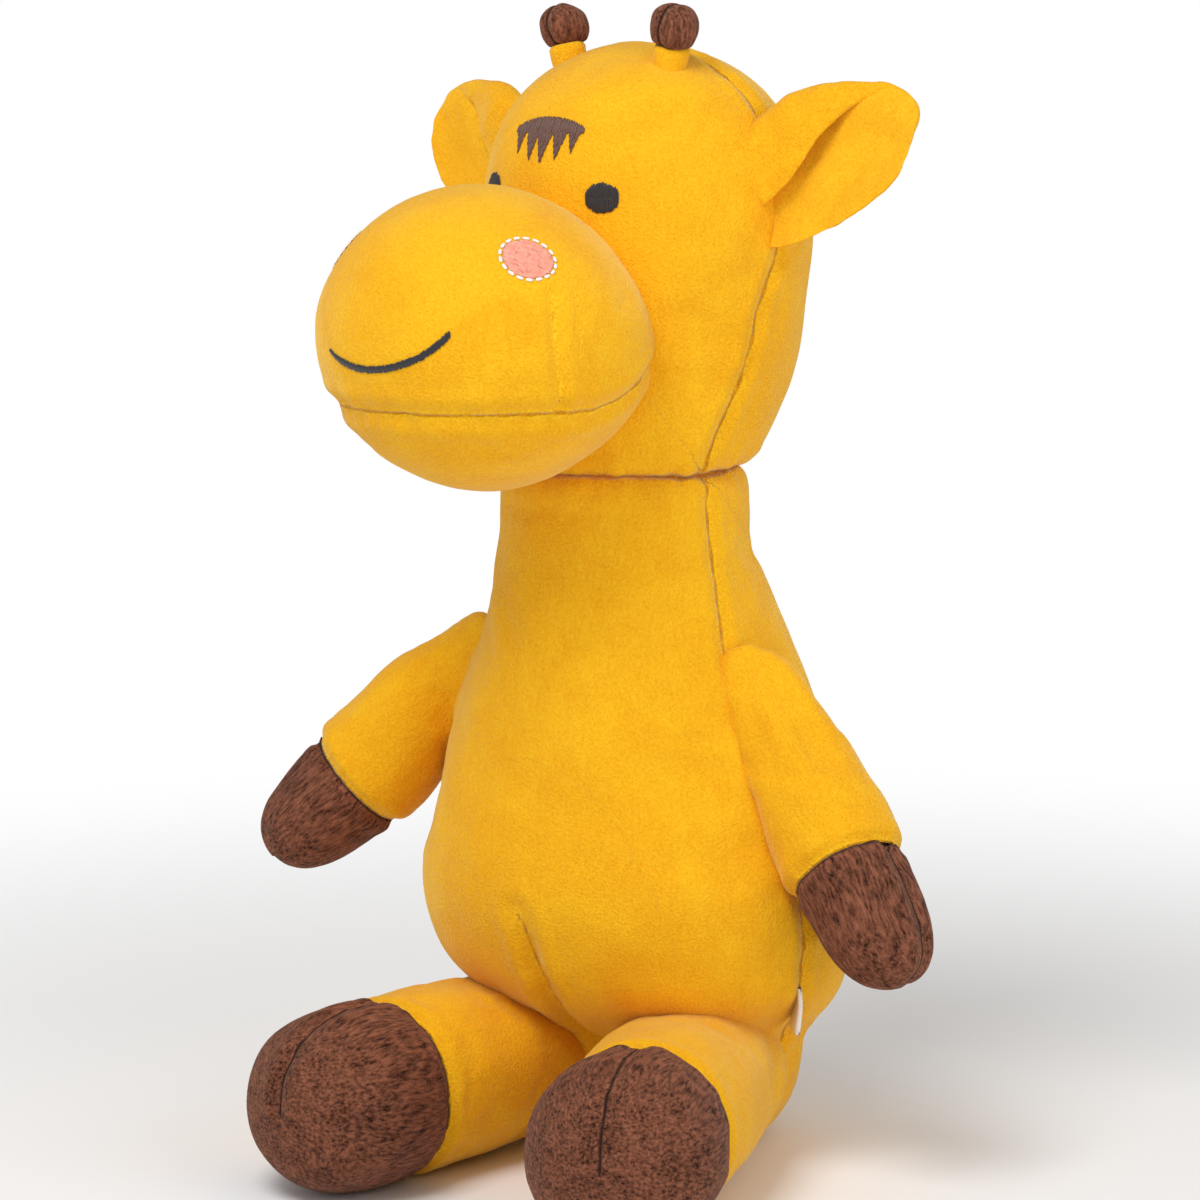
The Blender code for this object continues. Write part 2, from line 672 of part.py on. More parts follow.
ear_tip = (EAR_LENGTH, EAR_TIP_SHARE * EAR_HALF_WIDTH, EAR_TIP_SHARE * EAR_HALF_THICK)
outer_rows = ear_rows[:-1] + [ear_tip]
lining_rows = [row for row in outer_rows if row[0] > EAR_ROOT_RADIUS + GAP]
for name in SIDES:
    place = ear_places[name]
    root_ball = ball(f"ear_{name}_ball", EAR_ROOT_RADIUS + RUNNING_GAP / 2, place, SMALL_SIDES)
    guards = [cut(head_form(f"ear_{name}_guard", -GAP), root_ball)]
    for angle in (-EAR_FOLD, EAR_FOLD):
        turned = turned_about(place, "X", angle) @ head_base
        guard = swell(f"ear_{name}_fold_guard", shrunk(head_rows, -RUNNING_GAP), HEAD_SIDES, None, turned)
        guards.append(cut(guard, root_ball))
    outer = leaf(f"ear_{name}_outer", outer_rows, 1, yellow_plush, place)
    boolean(outer, ball(f"ear_{name}_root", EAR_ROOT_RADIUS, place, SMALL_SIDES), "UNION")
    cut(outer, *guards)
    cut(leaf(f"ear_{name}_lining", lining_rows, -1, ear_lining_cloth, place), *guards)

# Horns: a yellow stalk sewn into the crown, with a brown tip
tip_drop = math.sqrt(HORN_TIP_RADIUS**2 - HORN_RADIUS**2)
for name, side in SIDES.items():
    place = HEAD @ Matrix.Translation((side * HORN_SIDE, HORN_BACK, CROWN - HORN_SINK))
    place = place @ Matrix.Rotation(side * HORN_TILT, 4, "Y")
    stalk = [(0, HORN_RADIUS, HORN_RADIUS), (HORN_LENGTH, HORN_RADIUS, HORN_RADIUS)]
    cut(swell(f"horn_{name}_stalk", stalk, SMALL_SIDES, yellow_plush, place), head_guard)
    rows = [(HORN_LENGTH + GAP, HORN_RADIUS, HORN_RADIUS)]
    for i in range(1, TIP_ROWS + 1):
        start = math.asin(HORN_RADIUS / HORN_TIP_RADIUS)
        angle = start + (math.pi - start) * i / TIP_ROWS
        swelling = HORN_TIP_RADIUS * math.sin(angle) if i < TIP_ROWS else 0
        rows.append((HORN_LENGTH + GAP + tip_drop - HORN_TIP_RADIUS * math.cos(angle), swelling, swelling))
    swell(f"horn_{name}_tip", rows, SMALL_SIDES, brown_plush, place)

# Tail: a thin stuffed tube with a brown tuft
tail_rows = [(-TAIL_ROOT_RADIUS, 0, 0)]
for i in range(1, TAIL_ROOT_ROWS + 2):
    angle = math.pi / 2 * i / TAIL_ROOT_ROWS
    swelling = TAIL_ROOT_RADIUS * math.sin(angle)
    tail_rows.append((-TAIL_ROOT_RADIUS * math.cos(angle), swelling, swelling))
tail_rows += [(2 * TAIL_ROOT_RADIUS, TAIL_RADIUS, TAIL_RADIUS), (TAIL_LENGTH, TAIL_RADIUS, TAIL_RADIUS)]
tail_ball = ball("tail_ball", TAIL_ROOT_RADIUS + RUNNING_GAP / 2, tail_place, SMALL_SIDES)
tail_guards = [cut(swell("tail_guard", shrunk(torso_rows, -GAP), TORSO_SIDES), tail_ball)]
for angle in TAIL_SWING:
    turned = Matrix.Translation(tail_place.translation) @ Matrix.Rotation(angle, 4, "Z")
    turned = turned @ Matrix.Translation(-tail_place.translation)
    guard = swell("tail_swing_guard", shrunk(torso_rows, -RUNNING_GAP), TORSO_SIDES, None, turned)
    tail_guards.append(cut(guard, tail_ball))
cut(swell("tail", tail_rows, SMALL_SIDES, yellow_plush, tail_place), *tail_guards)
tuft_rows = [
    (TAIL_LENGTH + GAP + row[0], *row[1:])
    for row in scaled(TAIL_TUFT_SHARES, TAIL_TUFT, TAIL_TUFT_RADIUS, TAIL_TUFT_RADIUS)
]
swell("tail_tuft", tuft_rows, SMALL_SIDES, brown_plush, tail_place)


# Mane: a strip of brown plush that stands along the middle of the back
def mane(name, rows, reach_shares, length, place):
    kept = [row for row in rows if reach_shares[0] * length <= row[0] <= reach_shares[1] * length]
    bm = bmesh.new()
    rings = []
    for i, row in enumerate(kept):
        before = kept[max(i - 1, 0)]
        after = kept[min(i + 1, len(kept) - 1)]
        run = Vector((0, after[3] + after[2] - before[3] - before[2], after[0] - before[0])).normalized()
        out = Vector((0, run.z, -run.y))
        foot = Vector((0, row[3] + row[2], row[0]))
        stand = MANE_STAND * (MANE_END_SHARE if i in (0, len(kept) - 1) else 1)
        ring = []
        for x_share, out_share in MANE_SHARES:
            side = Vector((x_share * MANE_HALF_THICK, 0, 0))
            ring.append(bm.verts.new(foot + side + out * (GAP + out_share * stand)))
        rings.append(ring)
    for low, high in zip(rings, rings[1:]):
        for i in range(len(low)):
            j = (i + 1) % len(low)
            bm.faces.new((low[i], low[j], high[j], high[i]))
    bm.faces.new(rings[0])
    bm.faces.new(rings[-1])
    return link(name, mesh_of(name, bm), brown_plush, place)


mane("mane_head", head_rows, MANE_HEAD_SHARES, HEAD_HEIGHT, head_base)
mane("mane_neck", torso_rows, MANE_NECK_SHARES, TORSO_HEIGHT, FLAT)


# Face and spots: thin pads laid on a form and standing proud of it
def surface_of(rows, sides, place):
    """The form's outer surface, to lay a pad on."""
    guide = swell("pad_guide", rows, sides, None, place)
    points = [place @ vertex.co for vertex in guide.data.vertices]
    faces = [tuple(face.vertices) for face in guide.data.polygons]
    bpy.data.objects.remove(guide, do_unlink=True)
    guard = swell("pad_guard", shrunk(rows, -GAP), sides, None, place)
    return BVHTree.FromPolygons(points, faces), guard


def lay(name, bm, place, surface, thick, material):
    """Drops a flat mesh, drawn round place's z axis, on the surface and gives it its thickness."""
    tree, guard = surface
    down = -(place.to_3x3() @ Vector((0, 0, 1)))
    for vertex in bm.verts:
        start = place @ vertex.co - down * HEAD_HALF_WIDTH
        vertex.co = tree.ray_cast(start, down)[0] + down * SKIN
    bmesh.ops.recalc_face_normals(bm, faces=bm.faces)
    bm.normal_update()
    if sum(face.normal.dot(down) for face in bm.faces) > 0:
        bmesh.ops.reverse_faces(bm, faces=bm.faces)
        bm.normal_update()
    made = bmesh.ops.extrude_face_region(bm, geom=list(bm.faces), use_keep_orig=True)
    for vertex in [item for item in made["geom"] if isinstance(item, bmesh.types.BMVert)]:
        vertex.co -= down * (SKIN + GAP + thick)
    return cut(link(name, mesh_of(name, bm), material, FLAT), guard)


def disc(half_long, half_short, hole_share=0):
    """A flat oval in rings, or one with a hole."""
    bm = bmesh.new()
    shares = (hole_share, 1) if hole_share else DISC_SHARES
    rings = []
    for share in shares:
        if not share:
            rings.append([bm.verts.new((0, 0, 0))])
            continue
        ring = []
        for i in range(PAD_SIDES):
            angle = 2 * math.pi * i / PAD_SIDES
            ring.append(bm.verts.new((share * half_long * math.cos(angle), share * half_short * math.sin(angle), 0)))
        rings.append(ring)
    for low, high in zip(rings, rings[1:]):
        for i in range(PAD_SIDES):
            j = (i + 1) % PAD_SIDES
            if len(low) == 1:
                bm.faces.new((low[0], high[i], high[j]))
            else:
                bm.faces.new((low[i], high[i], high[j], low[j]))
    return bm


def ladder(points, half_widths):
    """A flat band along points, with a rung at each."""
    bm = bmesh.new()
    rungs = []
    for i, (x, y) in enumerate(points):
        before = points[max(i - 1, 0)]
        after = points[min(i + 1, len(points) - 1)]
        run = Vector((after[0] - before[0], after[1] - before[1])).normalized()
        out = Vector((-run.y, run.x, 0)) * half_widths[i]
        rungs.append([bm.verts.new(Vector((x, y, 0)) + out), bm.verts.new(Vector((x, y, 0)) - out)])
    for low, high in zip(rungs, rungs[1:]):
        bm.faces.new((low[0], low[1], high[1], high[0]))
    return bm


head_surface = surface_of(head_rows, HEAD_SIDES, head_base)
muzzle_surface = surface_of(muzzle_rows(), MUZZLE_SIDES, muzzle_place)
torso_surface = surface_of(torso_rows, TORSO_SIDES, FLAT)
head_up = HEAD.to_3x3() @ Vector((0, 0, 1))


def head_frame(angle, rise):
    """On the head, turned angle from the way it faces, with z pointing out."""
    out = HEAD.to_3x3() @ Vector((math.sin(angle), -math.cos(angle), 0))
    return frame_on(HEAD @ Vector((0, HEAD_BACK, rise)) + out * HEAD_HALF_WIDTH, out, head_up)


def cheek_frame(side):
    local = Vector((side * CHEEK_SIDE, -CHEEK_FORWARD, CHEEK_RISE))
    sizes = (MUZZLE_HALF_WIDTH, MUZZLE_HALF_LENGTH, MUZZLE_HALF_HEIGHT)
    out = HEAD.to_3x3() @ Vector([value / size**2 for value, size in zip(local, sizes)])
    origin = HEAD @ (Vector((0, -MUZZLE_FORWARD, MUZZLE_RISE)) + local)
    return frame_on(origin, out, head_up) @ Matrix.Rotation(-side * CHEEK_TILT, 4, "Z")


for name, side in SIDES.items():
    place = head_frame(side * EYE_SIDE_ANGLE, CROWN - EYE_DROP)
    lay(f"eye_{name}", disc(EYE_RADIUS, EYE_RADIUS), place, head_surface, PAD_THICK, black_thread)
    place = cheek_frame(side)
    lay(f"cheek_{name}", disc(CHEEK_HALF_LONG, CHEEK_HALF_SHORT), place, muzzle_surface, PAD_THICK, salmon_thread)
    grown = CHEEK_BORDER_GAP + CHEEK_BORDER
    border = disc(
        CHEEK_HALF_LONG + grown, CHEEK_HALF_SHORT + grown, 1 - CHEEK_BORDER / (CHEEK_HALF_LONG + grown)
    )
    lay(f"cheek_{name}_stitches", border, place, muzzle_surface, PAD_THICK, white_thread)
    place = head_frame(side * HEAD_SPOT_ANGLE, CROWN - HEAD_SPOT_DROP)
    spot = disc(HEAD_SPOT_RADIUS, HEAD_SPOT_RADIUS)
    lay(f"head_spot_{name}", spot, place, head_surface, SPOT_THICK, brown_plush)

smile_places = [-1 + 2 * i / SMILE_STEPS for i in range(SMILE_STEPS + 1)]
smile_points = [(t * SMILE_HALF_WIDTH, -SMILE_DROP + SMILE_LIFT * t * t) for t in smile_places]
smile_halves = [SMILE_LINE / 2 * (1 - SMILE_TAPER_SHARE * t**SMILE_TAPER_POWER) for t in smile_places]
muzzle_out = HEAD.to_3x3() @ Vector((0, -1, 0))
smile_frame = frame_on(HEAD @ Vector((0, -MUZZLE_FORWARD, MUZZLE_RISE)), muzzle_out, head_up)
smile_frame = smile_frame @ Matrix.Rotation(SMILE_TILT, 4, "Z")
lay("smile", ladder(smile_points, smile_halves), smile_frame, muzzle_surface, PAD_THICK, black_thread)


def tuft():
    """A flat patch with a spiky lower edge and a round upper one, in columns."""
    bm = bmesh.new()
    columns = []
    for x_share, low_share in FORELOCK_SHARES:
        x = x_share * FORELOCK_WIDTH / 2
        top = FORELOCK_HEIGHT / 2 * math.sqrt(1 - FORELOCK_ROUND_SHARE * x_share * x_share)
        low = low_share * FORELOCK_HEIGHT / 2
        columns.append([bm.verts.new((x, low + (top - low) * share, 0)) for share in TUFT_SHARES])
    for left, right in zip(columns, columns[1:]):
        for i in range(2):
            bm.faces.new((left[i], right[i], right[i + 1], left[i + 1]))
    return bm


lay("forelock", tuft(), head_frame(0, CROWN - FORELOCK_DROP), head_surface, PAD_THICK, brown_thread)

for number, (up_share, round_share) in enumerate(BACK_SPOT_SHARES, 1):
    out = Vector((math.sin(math.pi * round_share), math.cos(math.pi * round_share), 0))
    place = frame_on(Vector((0, 0, up_share * TORSO_HEIGHT)) + out * BELLY_HALF_WIDTH, out, Vector((0, 0, 1)))
    spot = disc(BACK_SPOT_RADIUS, BACK_SPOT_RADIUS)
    lay(f"back_spot_{number}", spot, place, torso_surface, SPOT_THICK, brown_plush)

# Side label: a blank folded ribbon caught in the left side seam
label_reach = Vector((0, LABEL_THICK / 2, LABEL_HEIGHT / 2))
label_root = Vector((0, -SIDE_SEAM_FORWARD, LABEL_MIDDLE))
label_end = Vector((LABEL_END, -SIDE_SEAM_FORWARD, LABEL_MIDDLE))
label = block("side_label", label_root - label_reach, label_end + label_reach)
label.hide_render = False
label.display_type = "TEXTURED"
label.data.materials.append(white_ribbon)
cut(label, swell("label_guard", shrunk(torso_rows, -GAP), TORSO_SIDES))

# The head turns with all it carries about the centre of the neck's ball
head_joint = bpy.data.objects.new("head_joint", None)
bpy.context.scene.collection.objects.link(head_joint)
head_joint.matrix_world = HEAD
HEAD_PIECES = ("head_", "muzzle_", "ear_", "horn_", "eye_", "cheek_", "smile", "forelock", "mane_head")
for piece in bpy.data.objects:
    if piece.name.startswith(HEAD_PIECES) and not piece.hide_render and piece != head_joint:
        piece.parent = head_joint
        piece.matrix_parent_inverse = HEAD.inverted()
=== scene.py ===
import math
import random

import bmesh
import bpy
import numpy as np
from mathutils import Matrix, Vector, noise
from mathutils.bvhtree import BVHTree


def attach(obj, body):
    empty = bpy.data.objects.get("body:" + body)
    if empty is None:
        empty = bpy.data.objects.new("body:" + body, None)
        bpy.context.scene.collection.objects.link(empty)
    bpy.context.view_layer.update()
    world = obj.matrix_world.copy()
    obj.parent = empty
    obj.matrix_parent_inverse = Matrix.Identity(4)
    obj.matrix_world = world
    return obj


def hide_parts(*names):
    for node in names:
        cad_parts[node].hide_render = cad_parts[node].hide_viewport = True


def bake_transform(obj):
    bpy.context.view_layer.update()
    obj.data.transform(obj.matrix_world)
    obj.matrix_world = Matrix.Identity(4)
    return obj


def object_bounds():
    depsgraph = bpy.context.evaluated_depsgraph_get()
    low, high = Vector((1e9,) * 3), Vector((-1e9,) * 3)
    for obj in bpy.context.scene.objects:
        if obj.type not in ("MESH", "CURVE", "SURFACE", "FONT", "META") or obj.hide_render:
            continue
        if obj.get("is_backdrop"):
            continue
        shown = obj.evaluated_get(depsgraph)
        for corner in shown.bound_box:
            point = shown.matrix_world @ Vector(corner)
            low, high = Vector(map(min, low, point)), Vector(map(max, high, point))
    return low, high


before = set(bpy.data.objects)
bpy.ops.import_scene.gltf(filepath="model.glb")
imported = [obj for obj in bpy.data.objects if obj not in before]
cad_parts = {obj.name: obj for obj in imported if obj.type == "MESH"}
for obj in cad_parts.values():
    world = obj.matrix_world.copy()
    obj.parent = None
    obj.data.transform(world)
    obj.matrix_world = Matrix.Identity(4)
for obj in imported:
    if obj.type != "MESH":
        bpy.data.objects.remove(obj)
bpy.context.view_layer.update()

scene = bpy.context.scene
random.seed(7)
print("frame loaded")


def moved(x, y, z):
    return Matrix.Translation((x, y, z))


def turned(degrees, axis):
    return Matrix.Rotation(math.radians(degrees), 4, axis)


def wayOf(place, way=(0, 0, 1)):
    # a direction of a frame, as the scene has it
    return place.to_3x3() @ Vector(way)


def frameOn(origin, along, back):
    z = along.normalized()
    y = (back - back.dot(z) * z).normalized()
    return Matrix.Translation(origin) @ Matrix((y.cross(z), y, z)).transposed().to_4x4()


# the camera is matched to the photograph
view = {
    "turn": 39,           # degrees round from the front, towards the toy's left
    "rise": 9,
    "distance": 1.5,
    "across": 0.36,       # what the picture spans at the target
    "target": (0, -0.02, 0.168),
    "pixel": (624, 599),  # where the target shows
    "picture": 1200,      # pixels along each side of it
    "film": 36,
}
turn, rise = math.radians(view["turn"]), math.radians(view["rise"])
towardCamera = Vector((math.sin(turn) * math.cos(rise), -math.cos(turn) * math.cos(rise), math.sin(rise)))
rightWay = Vector((math.cos(turn), math.sin(turn), 0))
upWay = towardCamera.cross(rightWay)
cameraSpot = Vector(view["target"]) + towardCamera * view["distance"]
cameraData = bpy.data.cameras.new("camera")
cameraData.sensor_width = view["film"]
cameraData.lens = view["film"] * view["distance"] / view["across"]
cameraData.shift_x = (view["picture"] / 2 - view["pixel"][0]) / view["picture"]
cameraData.shift_y = (view["pixel"][1] - view["picture"] / 2) / view["picture"]
camera = bpy.data.objects.new("camera", cameraData)
scene.collection.objects.link(camera)
camera.location = cameraSpot
camera.rotation_euler = (-towardCamera).to_track_quat("-Z", "Y").to_euler()
scene.camera = camera


def pixelLine(x, y):
    # the line of sight through a pixel of the photograph
    side = (x - view["pixel"][0]) / view["picture"] * view["across"]
    up = (view["pixel"][1] - y) / view["picture"] * view["across"]
    return (Vector(view["target"]) + rightWay * side + upWay * up - cameraSpot).normalized()


# frames of the body and the head, as the CAD has them
flat = Matrix.Identity(4)
headPlace = moved(0, -0.02, 0.189) @ turned(-3.5, "Z") @ turned(-1.5, "Y")
headBase = headPlace @ moved(0, 0, 0.0135)
muzzleSpot = (0, -0.058, 0.0626)
muzzleMiddle = headPlace @ moved(*muzzleSpot)
muzzlePlace = muzzleMiddle @ turned(84, "X") @ moved(0, 0, muzzleSpot[1])
sides = {"left": 1, "right": -1}
neckBend = {"start": (0, -0.02, 0.168), "end": (0, -0.02, 0.199)}


# nodes and materials
def srgb(r, g, b):
    return tuple((c / 255 / 12.92 if c <= 10 else ((c / 255 + 0.055) / 1.055) ** 2.4) for c in (r, g, b)) + (1,)


def addNode(tree, kind, given=None, **values):
    # given: numbers, colours or other nodes' sockets, by the input that takes them
    node = tree.nodes.new(kind)
    node.location.x = 220 * len(tree.nodes)
    for key, value in values.items():
        setattr(node, key, value)
    for key, value in (given or {}).items():
        if isinstance(value, bpy.types.NodeSocket):
            tree.links.new(value, node.inputs[key])
        else:
            node.inputs[key].default_value = value
    return node


def newGroup(name, inputs, outputs):
    # a group with named sockets; an input is given by its first value, or by its kind
    tree = bpy.data.node_groups.new(name, "ShaderNodeTree")
    for way, sockets in (("INPUT", inputs), ("OUTPUT", outputs)):
        for label, first in sockets.items():
            kind = first if isinstance(first, str) else "Float"
            socket = tree.interface.new_socket(name=label, in_out=way, socket_type="NodeSocket" + kind)
            if kind is not first:
                socket.default_value = first
    return tree, addNode(tree, "NodeGroupInput").outputs, addNode(tree, "NodeGroupOutput").inputs


def napGroup():
    # pile of plush: fine grain, short brushed streaks, patches where it lies another way, and painted shade in the
    # groove of a seam
    tree, inn, out = newGroup("napOfPlush", {
        "Deep": "Color", "Light": "Color", "Seam Shade": "Color", "Grain": 1700, "Streak": 700, "Patch": 30,
        "Streakiness": 0.35, "Patchiness": 0.3, "Contrast": 0.5, "Seam": 1.0, "Seam Width": 0.0011, "Vector": "Vector",
    }, {"Color": "Color", "Height": "Float", "Roughness": "Float"})

    def noiseAt(scale, detail, distortion, vector):
        given = {"Scale": inn[scale], "Detail": detail, "Distortion": distortion, "Vector": vector}
        return addNode(tree, "ShaderNodeTexNoise", given).outputs["Fac"]

    def ranged(value, low, high, toLow=0.0, toHigh=1.0, kind="SMOOTHSTEP"):
        given = {"Value": value, "From Min": low, "From Max": high, "To Min": toLow, "To Max": toHigh}
        return addNode(tree, "ShaderNodeMapRange", given, interpolation_type=kind).outputs["Result"]

    def sumOf(kind, *given, **values):
        return addNode(tree, "ShaderNodeMath", dict(enumerate(given)), operation=kind, **values).outputs[0]

    def mixed(share, first, second):
        return addNode(tree, "ShaderNodeMix", {0: share, 6: first, 7: second}, data_type="RGBA").outputs[2]

    # the pile leans down each piece, and wanders a little
    wander = addNode(tree, "ShaderNodeTexNoise", {"Scale": 34, "Detail": 1, "Vector": inn["Vector"]})
    given = {0: wander.outputs["Color"], 1: (0.01, 0.01, 0.002), 2: inn["Vector"]}
    push = addNode(tree, "ShaderNodeVectorMath", given, operation="MULTIPLY_ADD")
    stretch = addNode(tree, "ShaderNodeMapping", {"Scale": (1.0, 1.0, 0.22), "Vector": push.outputs[0]})
    grain = noiseAt("Grain", 2.0, 0.0, inn["Vector"])
    streak = noiseAt("Streak", 2.0, 0.3, stretch.outputs["Vector"])
    patch = noiseAt("Patch", 2.5, 1.2, inn["Vector"])
    fine = addNode(tree, "ShaderNodeMix", {0: inn["Streakiness"], 2: grain, 3: streak}).outputs[0]
    uneven = sumOf("SUBTRACT", ranged(patch, 0.34, 0.66), 0.5)
    lean = sumOf("MULTIPLY", uneven, inn["Patchiness"])
    spread = sumOf("MULTIPLY_ADD", sumOf("SUBTRACT", fine, 0.5), inn["Contrast"], 0.5)
    # ruffled, paler pile stands beside a seam
    away = sumOf("ABSOLUTE", inn["Seam"])
    near = ranged(away, 0.0, sumOf("MULTIPLY", inn["Seam Width"], 3.2), 1.0, 0.0)
    tousled = sumOf("MULTIPLY", ranged(grain, 0.4, 0.6), 0.3)
    ruffle = sumOf("MULTIPLY", near, tousled)
    total = sumOf("ADD", sumOf("ADD", spread, lean), ruffle, use_clamp=True)
    tint = mixed(total, inn["Deep"], inn["Light"])
    # painted shade: a darker colour laid along a seam's groove, broken up along the streaks, standing in for the shade
    # that falls there
    broken = ranged(streak, 0.25, 0.62, 0.55, 1.0)
    seamShade = sumOf("MULTIPLY", ranged(away, 0.0, inn["Seam Width"], 1.0, 0.0), broken)
    tree.links.new(mixed(seamShade, tint, inn["Seam Shade"]), out["Color"])
    tree.links.new(sumOf("MULTIPLY_ADD", seamShade, -1.0, fine), out["Height"])
    tree.links.new(ranged(fine, 0.3, 0.7, 0.95, 0.82, "LINEAR"), out["Roughness"])
    return tree


def twistGroup():
    # twisted thread: lighter and darker along its length
    tree, inn, out = newGroup("twistOfThread", {"Dark": "Color", "Light": "Color", "Spread": 900, "Vector": "Vector"},
                              {"Color": "Color", "Height": "Float"})
    given = {"Scale": inn["Spread"], "Detail": 2, "Vector": inn["Vector"]}
    twist = addNode(tree, "ShaderNodeTexNoise", given).outputs["Fac"]
    tint = addNode(tree, "ShaderNodeMix", {0: twist, 6: inn["Dark"], 7: inn["Light"]}, data_type="RGBA")
    tree.links.new(tint.outputs[2], out["Color"])
    tree.links.new(twist, out["Height"])
    return tree


nap, twistedThread = napGroup(), twistGroup()


def newLook(name, values):
    made = bpy.data.materials.new(name)
    made.use_nodes = True
    shader = made.node_tree.nodes["Principled BSDF"]
    for key, value in values.items():
        shader.inputs[key].default_value = value
    return made, made.node_tree, shader


def bumped(tree, shader, group, strength, distance):
    # the group's colour and height, on the shader
    given = {"Strength": strength, "Distance": distance, "Height": group.outputs["Height"]}
    bump = addNode(tree, "ShaderNodeBump", given)
    tree.links.new(group.outputs["Color"], shader.inputs["Base Color"])
    tree.links.new(bump.outputs["Normal"], shader.inputs["Normal"])


def plush(name, look):
    made, tree, shader = newLook(name, {
        "Specular IOR Level": 0.15, "Sheen Weight": look["sheen"], "Sheen Roughness": look["sheenRoughness"],
        "Sheen Tint": srgb(*look["sheenTint"]),
    })
    laid = addNode(tree, "ShaderNodeAttribute", attribute_name="laid")
    seam = addNode(tree, "ShaderNodeAttribute", attribute_name="seam")
    given = {key: srgb(*value) if isinstance(value, tuple) else value for key, value in look["pile"].items()}
    given.update({"Vector": laid.outputs["Vector"], "Seam": seam.outputs["Fac"]})
    group = addNode(tree, "ShaderNodeGroup", given, node_tree=nap)
    tree.links.new(group.outputs["Roughness"], shader.inputs["Roughness"])
    bumped(tree, shader, group, look["bump"], look["depth"])
    return made


def thread(name, dark, light, spread=900, sheen=0.3):
    made, tree, shader = newLook(name, {"Roughness": 0.45, "Sheen Weight": sheen})
    coords = addNode(tree, "ShaderNodeTexCoord")
    given = {"Dark": srgb(*dark), "Light": srgb(*light), "Spread": spread, "Vector": coords.outputs["Object"]}
    group = addNode(tree, "ShaderNodeGroup", given, node_tree=twistedThread)
    bumped(tree, shader, group, 0.5, 0.0002)
    return made


# each pile's seam colour (Seam Shade) is painted shade, a darker colour laid in the grooves of the seams
golden = {
    "pile": {"Deep": (226, 142, 2), "Light": (255, 204, 34), "Seam Shade": (214, 132, 8), "Contrast": 1.05, "Grain": 1350,
             "Streakiness": 0.22, "Patchiness": 0.16, "Seam Width": 0.0008},
    "bump": 0.95, "depth": 0.0007, "sheen": 0.55, "sheenRoughness": 0.32, "sheenTint": (255, 240, 178),
}
brown = {
    "pile": {"Deep": (46, 19, 11), "Light": (147, 91, 67), "Seam Shade": (34, 14, 9), "Contrast": 2.6, "Grain": 1600,
             "Streak": 1050, "Patch": 120, "Streakiness": 0.75, "Patchiness": 0.25, "Seam Width": 0.001},
    "bump": 1.0, "depth": 0.0011, "sheen": 0.18, "sheenRoughness": 0.4, "sheenTint": (225, 190, 170),
}
liningPile = dict(golden["pile"], Deep=(224, 144, 6), Light=(255, 204, 40))
goldenPlush = plush("goldenPlush", golden)
brownPlush = plush("brownPlush", brown)
liningPlush = plush("liningPlush", dict(golden, pile=liningPile, bump=0.5))
blackThread = thread("blackThread", (10, 8, 10), (44, 39, 44), sheen=0.15)
brownThread = thread("brownThread", (58, 28, 18), (112, 66, 44))
salmonThread = thread("salmonThread", (214, 104, 82), (255, 190, 164), sheen=0.2)
whiteThread = thread("whiteThread", (228, 218, 205), (252, 248, 240))
whiteRibbon = thread("whiteRibbon", (222, 222, 220), (246, 246, 244), spread=2400, sheen=0.15)
print("materials made")


# making and shaping pieces
def toObject(name, mesh, *looks):
    data = bpy.data.meshes.new(name)
    mesh.to_mesh(data)
    mesh.free()
    for look in looks:
        data.materials.append(look)
    data.shade_smooth()
    made = bpy.data.objects.new(name, data)
    scene.collection.objects.link(made)
    return made


def outward(mesh):
    bmesh.ops.recalc_face_normals(mesh, faces=mesh.faces)
    return mesh


def drawnOut(mesh, edges):
    # the next ring of a skin: its points and its edges
    grown = bmesh.ops.extrude_edge_only(mesh, edges=edges)["geom"]
    ring = [g for g in grown if isinstance(g, bmesh.types.BMVert)]
    inRing = set(ring)
    return ring, [g for g in grown if isinstance(g, bmesh.types.BMEdge) and inRing.issuperset(g.verts)]


def smoothRows(rows, step):
    # more rows on a smooth curve through the given ones
    rows = [tuple(row) + (0,) * (4 - len(row)) for row in rows]
    found, last = [], len(rows) - 1
    for i in range(last):
        a, b, c, d = (np.array(rows[min(max(k, 0), last)]) for k in (i - 1, i, i + 1, i + 2))
        count = max(1, round(float(np.linalg.norm(c - b)) / step))
        for t in (k / count for k in range(count)):
            found.append(b + t * (c - a) / 2 + t * t * (2 * a - 5 * b + 4 * c - d) / 2 + t**3 * (3 * b - a - 3 * c + d) / 2)
    found.append(np.array(rows[-1]))
    return found


def loft(rows, place, count=64, step=0.004, bow=None):
    # a ring drawn out from row to row: (along, half width, half depth, shift); both ends run to a point
    mesh = bmesh.new()
    rows = smoothRows(rows, step)
    least = 0.0002
    ring = bmesh.ops.create_circle(mesh, cap_ends=False, segments=count, radius=1)["verts"]
    bmesh.ops.scale(mesh, vec=(max(rows[0][1], least), max(rows[0][2], least), 1), verts=ring)
    bmesh.ops.translate(mesh, vec=(0, rows[0][3], rows[0][0]), verts=ring)
    firstRing, edges, last = ring, list(mesh.edges), rows[0]
    for row in rows[1:]:
        ring, edges = drawnOut(mesh, edges)
        grow = (max(row[1], least) / max(last[1], least), max(row[2], least) / max(last[2], least), 1)
        bmesh.ops.scale(mesh, vec=grow, space=moved(0, -last[3], -last[0]), verts=ring)
        bmesh.ops.translate(mesh, vec=(0, row[3] - last[3], row[0] - last[0]), verts=ring)
        last = row
    for ring, row in ((firstRing, rows[0]), (ring, last)):
        bmesh.ops.pointmerge(mesh, verts=ring, merge_co=(0, row[3], row[0]))
    if bow:
        for vert in mesh.verts:
            vert.co = bow(vert.co)
    bmesh.ops.transform(mesh, matrix=place, verts=mesh.verts)
    return outward(mesh)


def inFrame(spots, place):
    m = np.array(place)
    return spots @ m[:3, :3].T + m[:3, 3]


